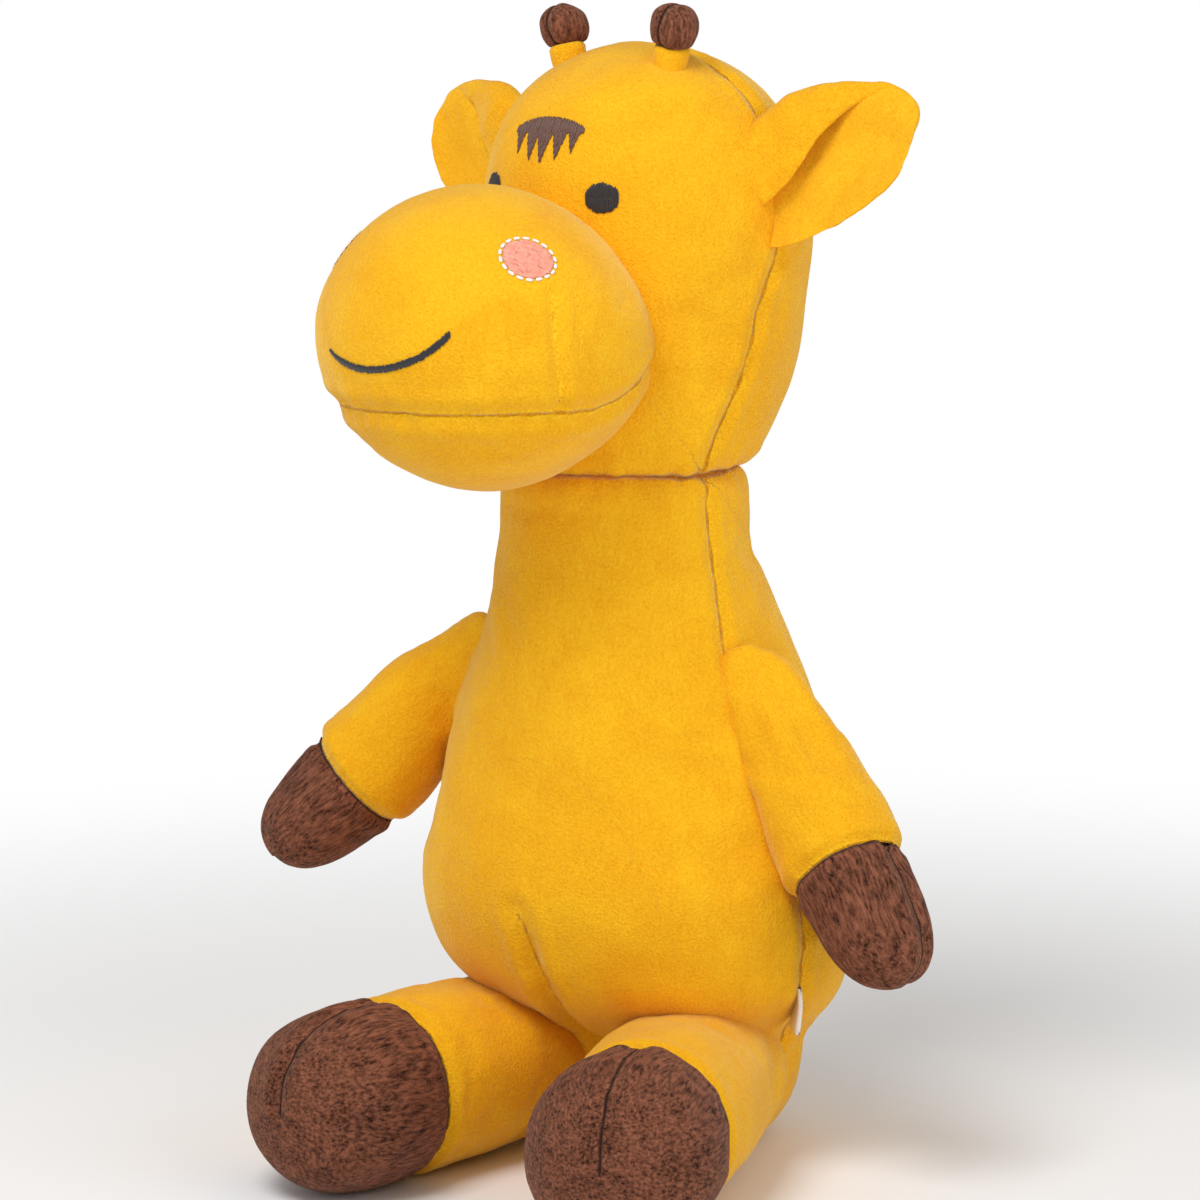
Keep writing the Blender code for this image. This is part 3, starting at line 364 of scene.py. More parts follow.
def points(piece, place=None, layer="co"):
    # the piece's points in the scene, or in a frame
    found = np.empty(len(piece.data.vertices) * 3)
    piece.data.vertices.foreach_get(layer, found)
    found = found.reshape(-1, 3)
    return found if place is None else inFrame(found, place.inverted())


def setPoints(piece, found):
    piece.data.vertices.foreach_set("co", np.asarray(found, np.float32).ravel())
    piece.data.update()


def pushOut(piece, amount):
    setPoints(piece, points(piece) + points(piece, layer="normal") * amount[:, None])


def onFloor(piece):
    spots = points(piece)
    spots[:, 2] = np.maximum(spots[:, 2], 0.0)
    setPoints(piece, spots)


def evaluated(piece):
    return bpy.data.meshes.new_from_object(piece.evaluated_get(bpy.context.evaluated_depsgraph_get()))


def applied(piece):
    # the piece with its modifiers made real
    data, old = evaluated(piece), piece.data
    piece.modifiers.clear()
    piece.data = data
    bpy.data.meshes.remove(old)
    return piece


def remeshed(piece, size):
    fine = piece.modifiers.new("Remesh", "REMESH")
    fine.mode = "VOXEL"
    fine.voxel_size = size
    applied(piece).data.shade_smooth()


def subdivided(piece):
    finer = piece.modifiers.new("Subdivision", "SUBSURF")
    finer.levels = finer.render_levels = 1
    return applied(piece)


def smoothMove(piece, times=2):
    mesh = bmesh.new()
    mesh.from_mesh(piece.data)
    for _ in range(times):
        bmesh.ops.smooth_vert(mesh, verts=mesh.verts, factor=0.5, use_axis_x=True, use_axis_y=True, use_axis_z=True)
    mesh.to_mesh(piece.data)
    mesh.free()


filling = {
    "pressure": 3.0, "frames": 14, "most": 0.0013, "holds": 0.006,  # a seam holds this far to each side
    "cloth": {"quality": 5, "mass": 0.3, "tension_stiffness": 12, "compression_stiffness": 12, "shear_stiffness": 6,
              "bending_stiffness": 0.3, "vertex_group_mass": "held", "shrink_min": -0.008, "use_pressure": True},
}


def plump(piece, held, pressure, most):
    # stuffing pushes the cloth out between the seams that hold it; held is a weight for each point
    start = points(piece)
    group = piece.vertex_groups.new(name="held")
    for i, weight in enumerate(held):
        if weight > 0.01:
            group.add([i], float(weight), "REPLACE")
    cloth = piece.modifiers.new("Cloth", "CLOTH")
    for key, value in filling["cloth"].items():
        setattr(cloth.settings, key, value)
    cloth.settings.uniform_pressure_force = pressure
    cloth.settings.effector_weights.gravity = 0
    cloth.collision_settings.use_collision = False
    cloth.point_cache.frame_start, cloth.point_cache.frame_end = 1, filling["frames"]
    for step in range(1, filling["frames"] + 1):
        scene.frame_set(step)
    result = evaluated(piece)
    swollen = np.empty(len(result.vertices) * 3)
    result.vertices.foreach_get("co", swollen)
    bpy.data.meshes.remove(result)
    piece.modifiers.clear()
    piece.vertex_groups.clear()
    scene.frame_set(1)
    shift = swollen.reshape(-1, 3) - start
    far = np.linalg.norm(shift, axis=1, keepdims=True)
    setPoints(piece, start + shift * np.minimum(1, most / np.maximum(far, 1e-9)))
    print("plumped", piece.name, "by up to", round(float(far.max()) * 1000, 2), "mm")


def stuffed(piece, voxel, heldAt, pressure=filling["pressure"], most=filling["most"]):
    # an even skin, filled out between the places that heldAt gives
    remeshed(piece, voxel)
    smoothMove(piece)
    plump(piece, np.clip(heldAt(piece) + 0.02, 0, 1), pressure, most)
    return subdivided(piece)


def soften(d, width):
    # 1 on the line, 0 past width
    t = np.clip(np.abs(d) / width, 0, 1)
    return (1 - t * t) ** 2


def smoothStep(value, low, high):
    t = np.clip((value - low) / (high - low), 0, 1)
    return t * t * (3 - 2 * t)


def lineDistance(spots, line):
    # distance from each spot to a line through points
    line = np.array([tuple(p) for p in line])
    best = np.full(len(spots), 1e9)
    for a, b in zip(line, line[1:]):
        run = b - a
        t = np.clip(((spots - a) @ run) / max(run @ run, 1e-12), 0, 1)
        best = np.minimum(best, np.linalg.norm(spots - a - t[:, None] * run, axis=1))
    return best


def carve(piece, distance, width, depth, lip=0.0, ease=1.0):
    # presses a seam into the cloth, with the pile standing up a little beside it
    rise = lip * soften(np.abs(distance) - width * 1.3, width * 0.9)
    pushOut(piece, (-depth * soften(distance, width) + rise) * ease)


def pucker(piece, distance, along, pitch, depth, reach, seed):
    # short gathers that run off a seam on both sides
    shift = np.zeros(len(distance))
    for i in np.flatnonzero(np.abs(distance) < reach):
        d = abs(distance[i]) / reach
        fade = (1 - d) ** 1.5 * min(1, d * 9 + 0.35)
        side = 3.1 if distance[i] > 0 else 0
        shift[i] = noise.noise(Vector((along[i] / pitch, seed + side, d * 0.6))) * fade
    pushOut(piece, shift * depth)


def ripple(piece, *lumps):
    # slight lumps of the stuffing: size, depth, seed
    for size, depth, seed in lumps:
        corner = Vector((seed, seed * 2.3, 0))
        pushOut(piece, np.array([noise.noise(Vector(p) / size + corner) for p in points(piece)]) * depth)


def finishSkin(piece, place, seam=None):
    # how the pile lies, in the piece's own frame, and how far each point is from a seam
    laid = points(piece, place)
    layer = piece.data.attributes.new("laid", "FLOAT_VECTOR", "POINT")
    layer.data.foreach_set("vector", laid.astype(np.float32).ravel())
    layer = piece.data.attributes.new("seam", "FLOAT", "POINT")
    layer.data.foreach_set("value", np.asarray(np.ones(len(laid)) if seam is None else seam, np.float32))


def nearest(*distances):
    found = distances[0]
    for other in distances[1:]:
        found = np.where(np.abs(other) < np.abs(found), other, found)
    return found


def treeOf(piece):
    data = piece.data
    return BVHTree.FromPolygons([v.co for v in data.vertices], [tuple(p.vertices) for p in data.polygons])


def seen(tree, pixels):
    # where lines of sight through these pixels meet a surface
    hits = (tree.ray_cast(cameraSpot, pixelLine(x, y))[0] for x, y in pixels)
    return [hit for hit in hits if hit is not None]


def settle(piece, bodies, nodes, slot, fill=None, start=None, end=None):
    if len(bodies) == 2:
        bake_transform(piece)
        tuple(start)
        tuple(end)
    else:
        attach(piece, bodies[0])
    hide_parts(*nodes)


# torso: a pear of two panels, sewn at the sides, with a dart at the front of the seat
torso = {
    "height": 0.189, "halfWidth": 0.0655, "halfDepth": 0.0545, "forward": 0.02, "voxel": 0.0026, "neckSeam": 0.2088,
    # shares of these: how far up, how wide, how deep, how far forward
    "rows": (
        (-0.0015, 0, 0, -0.15), (-0.001, 0.3, 0.3, -0.15), (0.004, 0.43, 0.44, -0.16), (0.015, 0.49, 0.5, -0.18),
        (0.055, 0.58, 0.575, -0.22), (0.12, 0.64, 0.638, -0.25), (0.18, 0.684, 0.69, -0.17), (0.22, 0.8, 0.792, 0.02),
        (0.26, 0.912, 0.902, 0.28), (0.31, 1.002, 0.988, 0.53), (0.4, 1.046, 1.033, 0.75), (0.47, 1.042, 1.03, 0.8),
        (0.55, 1, 0.998, 0.77), (0.64, 0.934, 0.944, 0.76), (0.74, 0.848, 0.868, 0.75), (0.85, 0.722, 0.772, 0.78),
        (0.94, 0.614, 0.696, 0.93), (1, 0.576, 0.668, 1), (1.06, 0.572, 0.664, 1), (1.09, 0.566, 0.658, 1),
        (1.103, 0.53, 0.618, 1), (1.109, 0.44, 0.52, 1), (1.112, 0, 0, 1),
    ),
    # the side seam and the dart, where the photograph shows them
    "sideSeam": (
        (707, 484), (708, 500), (711, 535), (718, 583), (726, 650), (742, 720), (760, 790), (778, 845), (794, 885), (803, 911),
        (805, 936), (803, 968), (801, 988), (796, 1012), (784, 1040),
    ),
    "dart": (
        (516, 914), (522, 925), (527, 945), (532, 966), (543, 988), (556, 1010), (573, 1026), (600, 1044),
    ),
    "lumps": ((0.034, 0.0012, 3), (0.013, 0.0005, 5)),
    # gathers: pitch, depth, reach, seed; grooves: width, depth, lip
    "sideGathers": (0.0075, 0.0016, 0.016, 2), "neckGathers": (0.005, 0.0011, 0.012, 9),
    "dartGathers": (0.008, 0.0005, 0.012, 12), "sideGroove": (0.0034, 0.0009, 0.0005),
    "dartGroove": (0.0052, 0.003, 0.0009), "dartEase": (-0.004, 0.018), "neckEase": 0.012, "held": (0.012, 0.203),
}
torsoRows = [(r[0] * torso["height"], r[1] * torso["halfWidth"], r[2] * torso["halfDepth"], -r[3] * torso["forward"])
             for r in torso["rows"]]


def sideSeamOf(skin, pixels, place):
    # distance to a seam that runs up both sides: where it is by height, from what shows of it
    inner = place.inverted()
    found = sorted(((inner @ p).z, (inner @ p).y) for p in seen(treeOf(skin), pixels))
    local = points(skin, place)
    high, across = np.array([f[0] for f in found]), np.array([f[1] for f in found])
    middle = np.interp(local[:, 2], high, across)
    slope = np.gradient(across, high + np.arange(len(high)) * 1e-7)
    lean = np.interp(local[:, 2], high, np.clip(slope, -1.5, 1.5))
    return (local[:, 1] - middle) / np.sqrt(1 + lean * lean)


def torsoHeld(skin):
    high = points(skin)[:, 2]
    seam = soften(sideSeamOf(skin, torso["sideSeam"], flat), filling["holds"])
    return seam + (high < torso["held"][0]) + (high > torso["held"][1])


torsoSkin = stuffed(toObject("torsoSkin", loft(torsoRows, flat), goldenPlush), torso["voxel"], torsoHeld)
dart = seen(treeOf(torsoSkin), torso["dart"])
sideSeam = sideSeamOf(torsoSkin, torso["sideSeam"], flat)
spots = points(torsoSkin)
toDart = lineDistance(spots, dart)
toNeck = spots[:, 2] - torso["neckSeam"]
aroundNeck = np.arctan2(spots[:, 0], -spots[:, 1] - 0.02) * 0.04
ripple(torsoSkin, *torso["lumps"])
pucker(torsoSkin, sideSeam, spots[:, 2], *torso["sideGathers"])
pucker(torsoSkin, toNeck, aroundNeck, *torso["neckGathers"])
pucker(torsoSkin, toDart, spots[:, 2], *torso["dartGathers"])
carve(torsoSkin, sideSeam, *torso["sideGroove"], smoothStep(np.abs(toNeck), 0, torso["neckEase"]))
pastTip = np.linalg.norm(spots - np.array(dart[0]), axis=1)
carve(torsoSkin, toDart, *torso["dartGroove"], smoothStep(pastTip, *torso["dartEase"]))
onFloor(torsoSkin)
finishSkin(torsoSkin, flat, nearest(sideSeam, toDart * 0.8, toNeck))
settle(torsoSkin, ("torso", "head"), ("torso_front", "torso_back", "torso_stuffing", "bean_bag"), "yellow_plush", 0.8,
       **neckBend)
print("torso made")

# head: a face panel and a back panel, gathered at the neck
head = {
    "height": 0.1305, "halfWidth": 0.0488, "halfDepth": 0.047, "back": 0.0125, "voxel": 0.0026, "neckSeam": 0.0058,
    "rows": (
        (0.036, 0, 0, 0), (0.0375, 0.56, 0.55, 0), (0.042, 0.68, 0.67, 0.02), (0.05, 0.745, 0.74, 0.1), (0.07, 0.79, 0.788, 0.26),
        (0.14, 0.85, 0.85, 0.48), (0.24, 0.918, 0.918, 0.74), (0.36, 0.974, 0.974, 0.92), (0.48, 1.004, 1.004, 1),
        (0.59, 1.014, 1.014, 1), (0.69, 0.999, 0.999, 1), (0.78, 0.932, 0.938, 1), (0.86, 0.812, 0.822, 1),
        (0.925, 0.63, 0.65, 1), (0.97, 0.41, 0.43, 1), (0.994, 0.19, 0.2, 1), (1, 0, 0, 1),
    ),
    "sideSeam": (
        (704, 470), (708, 460), (715, 444), (721, 430), (735, 400), (746, 370), (753, 345), (758, 317), (763, 300), (768, 283),
        (777, 264), (781, 240), (783, 215), (782, 190), (778, 165), (771, 140), (760, 115), (744, 92), (720, 70),
    ),
    "lumps": ((0.03, 0.001, 11), (0.012, 0.0004, 13)),
    "sideGathers": (0.007, 0.0014, 0.014, 4), "neckGathers": (0.005, 0.0012, 0.014, 6),
    "sideGroove": (0.0036, 0.001, 0.0005), "held": 0.009,
}
headRows = [(r[0] * head["height"], r[1] * head["halfWidth"], r[2] * head["halfDepth"], r[3] * head["back"])
            for r in head["rows"]]


def headHeld(skin):
    seam = soften(sideSeamOf(skin, head["sideSeam"], headBase), filling["holds"])
    return seam + (points(skin, headBase)[:, 2] < head["held"])


headSkin = stuffed(toObject("headSkin", loft(headRows, headBase), goldenPlush), head["voxel"], headHeld)
headSeam = sideSeamOf(headSkin, head["sideSeam"], headBase)
local = points(headSkin, headBase)
toNeck = local[:, 2] - head["neckSeam"]
ripple(headSkin, *head["lumps"])
pucker(headSkin, headSeam, local[:, 2], *head["sideGathers"])
pucker(headSkin, toNeck, np.arctan2(local[:, 0], -local[:, 1]) * 0.04, *head["neckGathers"])
carve(headSkin, headSeam, *head["sideGroove"], smoothStep(np.abs(toNeck), 0, torso["neckEase"]))
finishSkin(headSkin, headBase, nearest(headSeam, toNeck))
settle(headSkin, ("head",), ("head_face", "head_back", "head_stuffing"), "yellow_plush", 0.85)
print("head made")

# muzzle: a top panel and a chin panel, with a dart at each cheek
muzzle = {
    "forward": 0.058, "halfWidth": 0.0506, "halfLength": 0.0449, "halfHeight": 0.0442, "power": 2.13, "voxel": 0.0024,
    "seamDrop": 0.019, "seamRise": 0.0125, "risesFrom": (-0.004, 0.036), "held": 0.025,
    # shares that the jowls lose above and below, more of it behind
    "above": 0.08, "behind": 1.5, "below": 0.075, "flatter": 0.0008,
    "dart": ((553, 296), (555, 320), (557, 345), (560, 378), (560, 406)),
    "lumps": ((0.03, 0.0009, 21), (0.012, 0.0003, 23)),
    "chinGathers": (0.0065, 0.001, 0.012, 8), "chinGroove": (0.004, 0.0008, 0.0005), "dartGroove": (0.0032, 0.001, 0.0004),
}
muzzleRows = []
for i in range(19):
    angle = math.pi * i / 18
    along = -math.copysign(abs(math.cos(angle)) ** (2 / muzzle["power"]), math.cos(angle))
    swelling = math.sin(angle) ** (2 / muzzle["power"]) if 0 < i < 18 else 0
    muzzleRows.append((muzzle["forward"] + along * muzzle["halfLength"], swelling * muzzle["halfWidth"],
                       swelling * muzzle["halfHeight"]))


def jowls(co):
    # narrower and flatter above, and a little narrower below
    high = co.y / muzzle["halfHeight"]
    above, below = smoothStep(high, 0, 1), smoothStep(-high, 0.3, 1)
    above *= 1 + muzzle["behind"] * smoothStep(muzzle["forward"] - co.z, -0.01, 0.03)
    return Vector((co.x * (1 - muzzle["above"] * above - muzzle["below"] * below), co.y - muzzle["flatter"] * above, co.z))


def chinSeamOf(skin):
    # level round the front, and rising behind the darts
    local = points(skin, muzzleMiddle)
    return local[:, 2] + muzzle["seamDrop"] - muzzle["seamRise"] * smoothStep(local[:, 1], *muzzle["risesFrom"])


def muzzleHeld(skin):
    return soften(chinSeamOf(skin), filling["holds"]) + (points(skin, muzzleMiddle)[:, 1] > muzzle["held"])


muzzleSkin = toObject("muzzleSkin", loft(muzzleRows, muzzlePlace, bow=jowls), goldenPlush)
stuffed(muzzleSkin, muzzle["voxel"], muzzleHeld)
chinSeam = chinSeamOf(muzzleSkin)
spots = points(muzzleSkin)
dart = seen(treeOf(muzzleSkin), muzzle["dart"])
inner = muzzleMiddle.inverted()
mirrored = [muzzleMiddle @ Vector((-(inner @ p).x, (inner @ p).y, (inner @ p).z)) for p in dart]
toDart = np.minimum(lineDistance(spots, dart), lineDistance(spots, mirrored))
around = np.arctan2(*(points(muzzleSkin, muzzleMiddle)[:, :2].T)) * 0.045
ripple(muzzleSkin, *muzzle["lumps"])
pucker(muzzleSkin, chinSeam, around, *muzzle["chinGathers"])
carve(muzzleSkin, chinSeam, *muzzle["chinGroove"])
carve(muzzleSkin, toDart, *muzzle["dartGroove"])
finishSkin(muzzleSkin, muzzlePlace @ turned(-90, "X"), nearest(chinSeam * 1.25, toDart * 1.4 + 0.0002))
settle(muzzleSkin, ("head",), ("muzzle_top", "muzzle_chin", "muzzle_stuffing"), "yellow_plush", 0.85)
print("muzzle made")

# arms and legs: a sleeve sewn to a hoof
arm = {
    "root": (0.0518, -0.018, 0.146), "down": {"left": 31, "right": 47}, "fore": {"left": 0, "right": 28},
    "sleeve": 0.0605, "voxel": 0.002, "bend": (-0.01, 0.016),
    # the root is pressed flat against the side seam
    "flatShare": 0.55, "frontShare": 0.26, "flatReach": 0.02, "flatFade": (0.016, 0.044),
    # the far arm arches up a little behind its shoulder, and the near arm's hoof seam is higher towards the camera
    "arch": {"left": 0, "right": 0.0026}, "lean": {"left": -0.0013, "right": 0}, "seamTip": {"left": 0.34, "right": 0.05},
    "archAt": 0.026, "archReach": 0.02, "leanFrom": (0.055, 0.075),
    # along, half breadth along the shoulder's seam, half thickness
    "rows": (
        (-0.014, 0, 0), (-0.013, 0.006, 0.006), (-0.008, 0.011, 0.01), (0, 0.0136, 0.0126), (0.012, 0.0148, 0.0146),
        (0.024, 0.0162, 0.0162), (0.036, 0.0178, 0.0176), (0.048, 0.019, 0.0186), (0.056, 0.019, 0.0186),
        (0.0605, 0.0176, 0.0174), (0.065, 0.0172, 0.017), (0.071, 0.0168, 0.0168), (0.079, 0.0157, 0.0158),
        (0.087, 0.0136, 0.0136), (0.093, 0.0096, 0.0098), (0.096, 0.0048, 0.0048), (0.0972, 0, 0),
    ),
    # folds of the near arm's cloth, as the photograph shows them: line, width, depth
    "folds": (
        (((752, 664), (771, 686), (796, 709), (811, 734), (823, 758)), 0.0075, 0.0019),
        (((742, 684), (752, 712), (758, 745)), 0.006, 0.0012),
        (((772, 762), (789, 773), (809, 777)), 0.0065, 0.0008),
    ),
}
leg = {
    "root": (0.03, -0.018, 0.0268), "splay": {"left": 24, "right": 1}, "sleeve": 0.075, "voxel": 0.0024, "bend": (0.002, 0.034),
    "rows": (
        (-0.024, 0, 0), (-0.0225, 0.008, 0.008), (-0.017, 0.017, 0.017), (-0.008, 0.023, 0.0228), (0, 0.0248, 0.025),
        (0.011, 0.0254, 0.0251), (0.026, 0.0264, 0.0256), (0.045, 0.0273, 0.0266), (0.06, 0.0274, 0.0273), (0.07, 0.0268, 0.027),
        (0.075, 0.026, 0.0264), (0.079, 0.0272, 0.0272), (0.088, 0.0288, 0.0277), (0.0985, 0.0285, 0.027), (0.108, 0.0252, 0.024),
        (0.1155, 0.0192, 0.0186), (0.12, 0.0114, 0.0112), (0.1222, 0, 0),
    ),
}
limb = {
    "lumps": (0.018, 0.001), "seamGathers": (0.0042, 0.0009, 0.01, 14), "seamGroove": (0.0036, 0.0013, 0.0003),
    "hoofGathers": (0.005, 0.0009, 0.009, 17), "hoofGroove": (0.0044, 0.0012, 0.0005), "pressure": 2.5, "most": 0.0012,
    "holds": 0.005, "held": 0.004,
    "rim": ((0.0006, 0.965), (0.0014, 0.9)),
}


def rootOf(size, side):
    return moved(side * size["root"][0], *size["root"][1:])


def armPlace(name, side):
    return rootOf(arm, side) @ turned(-side * arm["fore"][name], "Z") @ turned(side * (180 - arm["down"][name]), "Y")


def legPlace(name, side):
    return rootOf(leg, side) @ turned(side * leg["splay"][name], "Z") @ turned(90, "X")


torsoTree = treeOf(torsoSkin)
spotsOfTorso = points(torsoSkin)
seamOfTorso = sideSeamOf(torsoSkin, torso["sideSeam"], flat)
seamHeights = np.linspace(0.02, 0.19, 60)
nearSeam = (np.argsort(np.abs(spotsOfTorso[:, 2] - high) * 2 + np.abs(seamOfTorso))[:6] for high in seamHeights)
seamMiddle = [spotsOfTorso[near, 1].mean() for near in nearSeam]


def flattenRoot(skin, place):
    # the sleeve is pressed flat where it is caught in the side seam, and lies over the seam there
    spots = points(skin)
    outside = np.empty(len(spots))
    for i, spot in enumerate(spots):
        hit, normal, _, _ = torsoTree.find_nearest(Vector(spot))
        outside[i] = (Vector(spot) - hit).dot(normal)
    along = points(skin, place)[:, 2]
    caught = 1 - smoothStep(outside, -0.004, arm["flatReach"])
    caught *= 1 - smoothStep(along, *arm["flatFade"])
    fromAxis = spots[:, 1] - (place.translation.y + along * wayOf(place)[1])
    share = np.where(fromAxis < 0, arm["frontShare"], arm["flatShare"])
    pressed = np.interp(spots[:, 2], seamHeights, seamMiddle) + fromAxis * share
    spots[:, 1] += (pressed - spots[:, 1]) * caught
    setPoints(skin, spots)


def cutAt(skin, spot, way, keep):
    # the piece on one side of the hoof's seam, turned in at its rim
    mesh = bmesh.new()
    mesh.from_mesh(skin.data)
    cut = bmesh.ops.bisect_plane(mesh, geom=list(mesh.verts) + list(mesh.edges) + list(mesh.faces), plane_co=spot, plane_no=way,
                                 clear_outer=keep < 0, clear_inner=keep > 0)["geom_cut"]
    rim = [g for g in cut if isinstance(g, bmesh.types.BMEdge)]
    for depth, shrink in limb["rim"]:
        ring, rim = drawnOut(mesh, rim)
        bmesh.ops.scale(mesh, vec=(shrink, shrink, shrink), space=Matrix.Translation(-spot), verts=ring)
        bmesh.ops.translate(mesh, vec=way * depth * keep, verts=ring)
    bmesh.ops.holes_fill(mesh, edges=rim, sides=0)
    return outward(mesh)


def limbOf(kind, size, place, name, side):
    body, isArm = f"{kind}_{name}", kind == "arm"

    def bow(co):
        if isArm:
            co.x += size["arch"][name] * math.exp(-(((co.z - size["archAt"]) / size["archReach"]) ** 2))
            co.x += size["lean"][name] * smoothStep(co.z, *size["leanFrom"])
        return co

    def held(piece):
        along = points(piece, place)[:, 2]
        found = soften(along - size["sleeve"], limb["holds"]) + (along < limb["held"])
        return found if isArm else found + (points(piece)[:, 2] < limb["held"])

    skin = toObject(f"{kind}{name.title()}Skin", loft(size["rows"], place, 48, 0.003, bow), goldenPlush)
    if isArm:
        flattenRoot(skin, place)
    stuffed(skin, size["voxel"], held, limb["pressure"], limb["most"])
    ripple(skin, (*limb["lumps"], 31 + len(name)))
    if isArm and side > 0:
        tree = treeOf(skin)
        for pixels, width, depth in size["folds"]:
            carve(skin, lineDistance(points(skin), seen(tree, pixels)), width, depth, depth * 0.1)
    if not isArm:
        onFloor(skin)
    tip = towardCamera * (size["seamTip"][name] if isArm else 0)
    seamSpot, seamWay = place @ Vector((0, 0, size["sleeve"])), (wayOf(place) + tip).normalized()

    def toSeam(piece):
        return (points(piece) - np.array(seamSpot)) @ np.array(seamWay)

    local, seam = points(skin, place), toSeam(skin)
    pucker(skin, seam, np.arctan2(local[:, 0], local[:, 1]) * 0.02, *limb["seamGathers"])
    carve(skin, seam, *limb["seamGroove"])
    hoof = toObject(f"{kind}{name.title()}Hoof", cutAt(skin, seamSpot, seamWay, 1), brownPlush)
    sleeve = cutAt(skin, seamSpot, seamWay, -1)
    sleeve.to_mesh(skin.data)
    sleeve.free()
    skin.data.shade_smooth()
    finishSkin(skin, place, toSeam(skin))
    # the hoof's own seam runs down its middle to the tip
    local = points(hoof, place)
    line = np.where(local[:, 0] * side < 0, local[:, 1] - 0.001, 1.0) if isArm else np.where(local[:, 1] > 0, local[:, 0], 1.0)
    pucker(hoof, line, local[:, 2], *limb["hoofGathers"])
    carve(hoof, line, *limb["hoofGroove"])
    onFloor(skin)
    onFloor(hoof)
    finishSkin(hoof, place, nearest(line * 1.2 + 0.0002, toSeam(hoof)))
    start, end = (place @ Vector((0, 0, along)) for along in size["bend"])
    settle(skin, ("torso", body), (body + "_sleeve", body + "_stuffing"), "yellow_plush", 0.75, start, end)
    settle(hoof, (body,), (body + "_hoof",), "brown_plush", 0.8)


for name, side in sides.items():
    limbOf("arm", arm, armPlace(name, side), name, side)
    limbOf("leg", leg, legPlace(name, side), name, side)
print("limbs made")

# ears: a leaf of two cloths, folded over at its upper edge and pinched at its root
ear = {
    "root": (0.0475, 0.015, 0.092), "step": 0.001,
    "lean": {1: (0.63, 0.26, 0.56), -1: (-0.74, 0.12, 0.56)},  # the far ear is bent forward a little in the photograph
    "foldLong": 0.0062, "foldDeep": 0.0037, "curl": 0.0045, "curlShare": 0.45, "bend": (-0.001, 0.01),
    # along, half width, half thickness, where the lower rim, the fold and the upper edge are across
    "rows": (
        (-0.005, 0, 0, 0.006, -0.008, -0.003), (-0.0042, 0.018, 0.0016, 0.0064, -0.009, -0.003),
        (0, 0.022, 0.0022, 0.0095, -0.013, -0.003), (0.004, 0.0235, 0.0026, 0.0112, -0.0185, -0.003),
        (0.008, 0.025, 0.0028, 0.0128, -0.0222, -0.003), (0.015, 0.0265, 0.0029, 0.015, -0.0238, -0.0038),
        (0.025, 0.0265, 0.0029, 0.0168, -0.0236, -0.0066), (0.034, 0.024, 0.0028, 0.0172, -0.0214, -0.009),
        (0.042, 0.02, 0.0026, 0.0158, -0.0176, -0.01), (0.049, 0.014, 0.0023, 0.0122, -0.0122, -0.0088),
        (0.054, 0.008, 0.0018, 0.007, -0.007, -0.006), (0.056, 0.0036, 0.0012, 0.0034, -0.0036, -0.0034),
        (0.0565, 0, 0, 0.001, -0.0014, -0.0012),
    ),
}
earRows = np.array(smoothRows(ear["rows"], 0.0005))


def earSection(share, along):
    # a point of the cloth's middle: from the lower rim, round the fold, to the upper edge
    rim, fold, edge = (np.interp(along, earRows[:, 0], earRows[:, k]) for k in (3, 4, 5))
    wide = max(edge - fold, 0.0002)
    longWay, deepWay = min(ear["foldLong"], wide * 0.5), min(ear["foldDeep"], wide * 0.24)
    middle = fold + longWay
    lobe, bend, flap = rim - middle, math.pi * (longWay + deepWay) / 2, edge - middle
    reach = share * (lobe + bend + flap)
    if reach < lobe:
        rise = ear["curl"] * min(1, lobe / 0.02) * max(0, 1 - reach / (lobe * ear["curlShare"])) ** 2
        return Vector((rim - reach, -rise, along))
    if reach < lobe + bend:
        angle = math.pi * (reach - lobe) / bend
        return Vector((middle - longWay * math.sin(angle), -deepWay * (1 - math.cos(angle)), along))
    return Vector((middle + reach - lobe - bend, -2 * deepWay, along))


for name, side in sides.items():
    place = frameOn(headPlace @ Vector((side * ear["root"][0], *ear["root"][1:])), wayOf(headPlace, ear["lean"][side]),
                    wayOf(headPlace, (0, 1, 0)))
    leaf = loft([r[:3] for r in ear["rows"]], flat, 120, ear["step"])
    skin = toObject(f"ear{name.title()}Skin", leaf, goldenPlush, liningPlush)
    spots = points(skin)
    for poly in skin.data.polygons:
        poly.material_index = int(all(spots[v, 1] < 0 for v in poly.vertices))
    bent = []
    for x, y, z in spots:
        half = max(np.interp(z, earRows[:, 0], earRows[:, 1]), 1e-5)
        share = min(max((half - x * side) / (2 * half), 0), 1)
        spot = earSection(share, z)
        run = earSection(min(share + 0.01, 1), z) - earSection(max(share - 0.01, 0), z)
        back = Vector((run.y, -run.x, 0)).normalized()
        bent.append(((spot.x + back.x * y) * side, spot.y + back.y * y, z))
    setPoints(skin, bent)
    subdivided(skin)
    smoothMove(skin, 1)
    skin.data.transform(place)
    ripple(skin, (0.01, 0.0009, 41 + side), (0.004, 0.0003, 43 + side))
    finishSkin(skin, place)
    start, end = (place @ Vector((0, 0, along)) for along in ear["bend"])
    settle(skin, ("head", f"ear_{name}"), (f"ear_{name}_outer", f"ear_{name}_lining"), "yellow_plush", 0.4, start, end)
print("ears made")

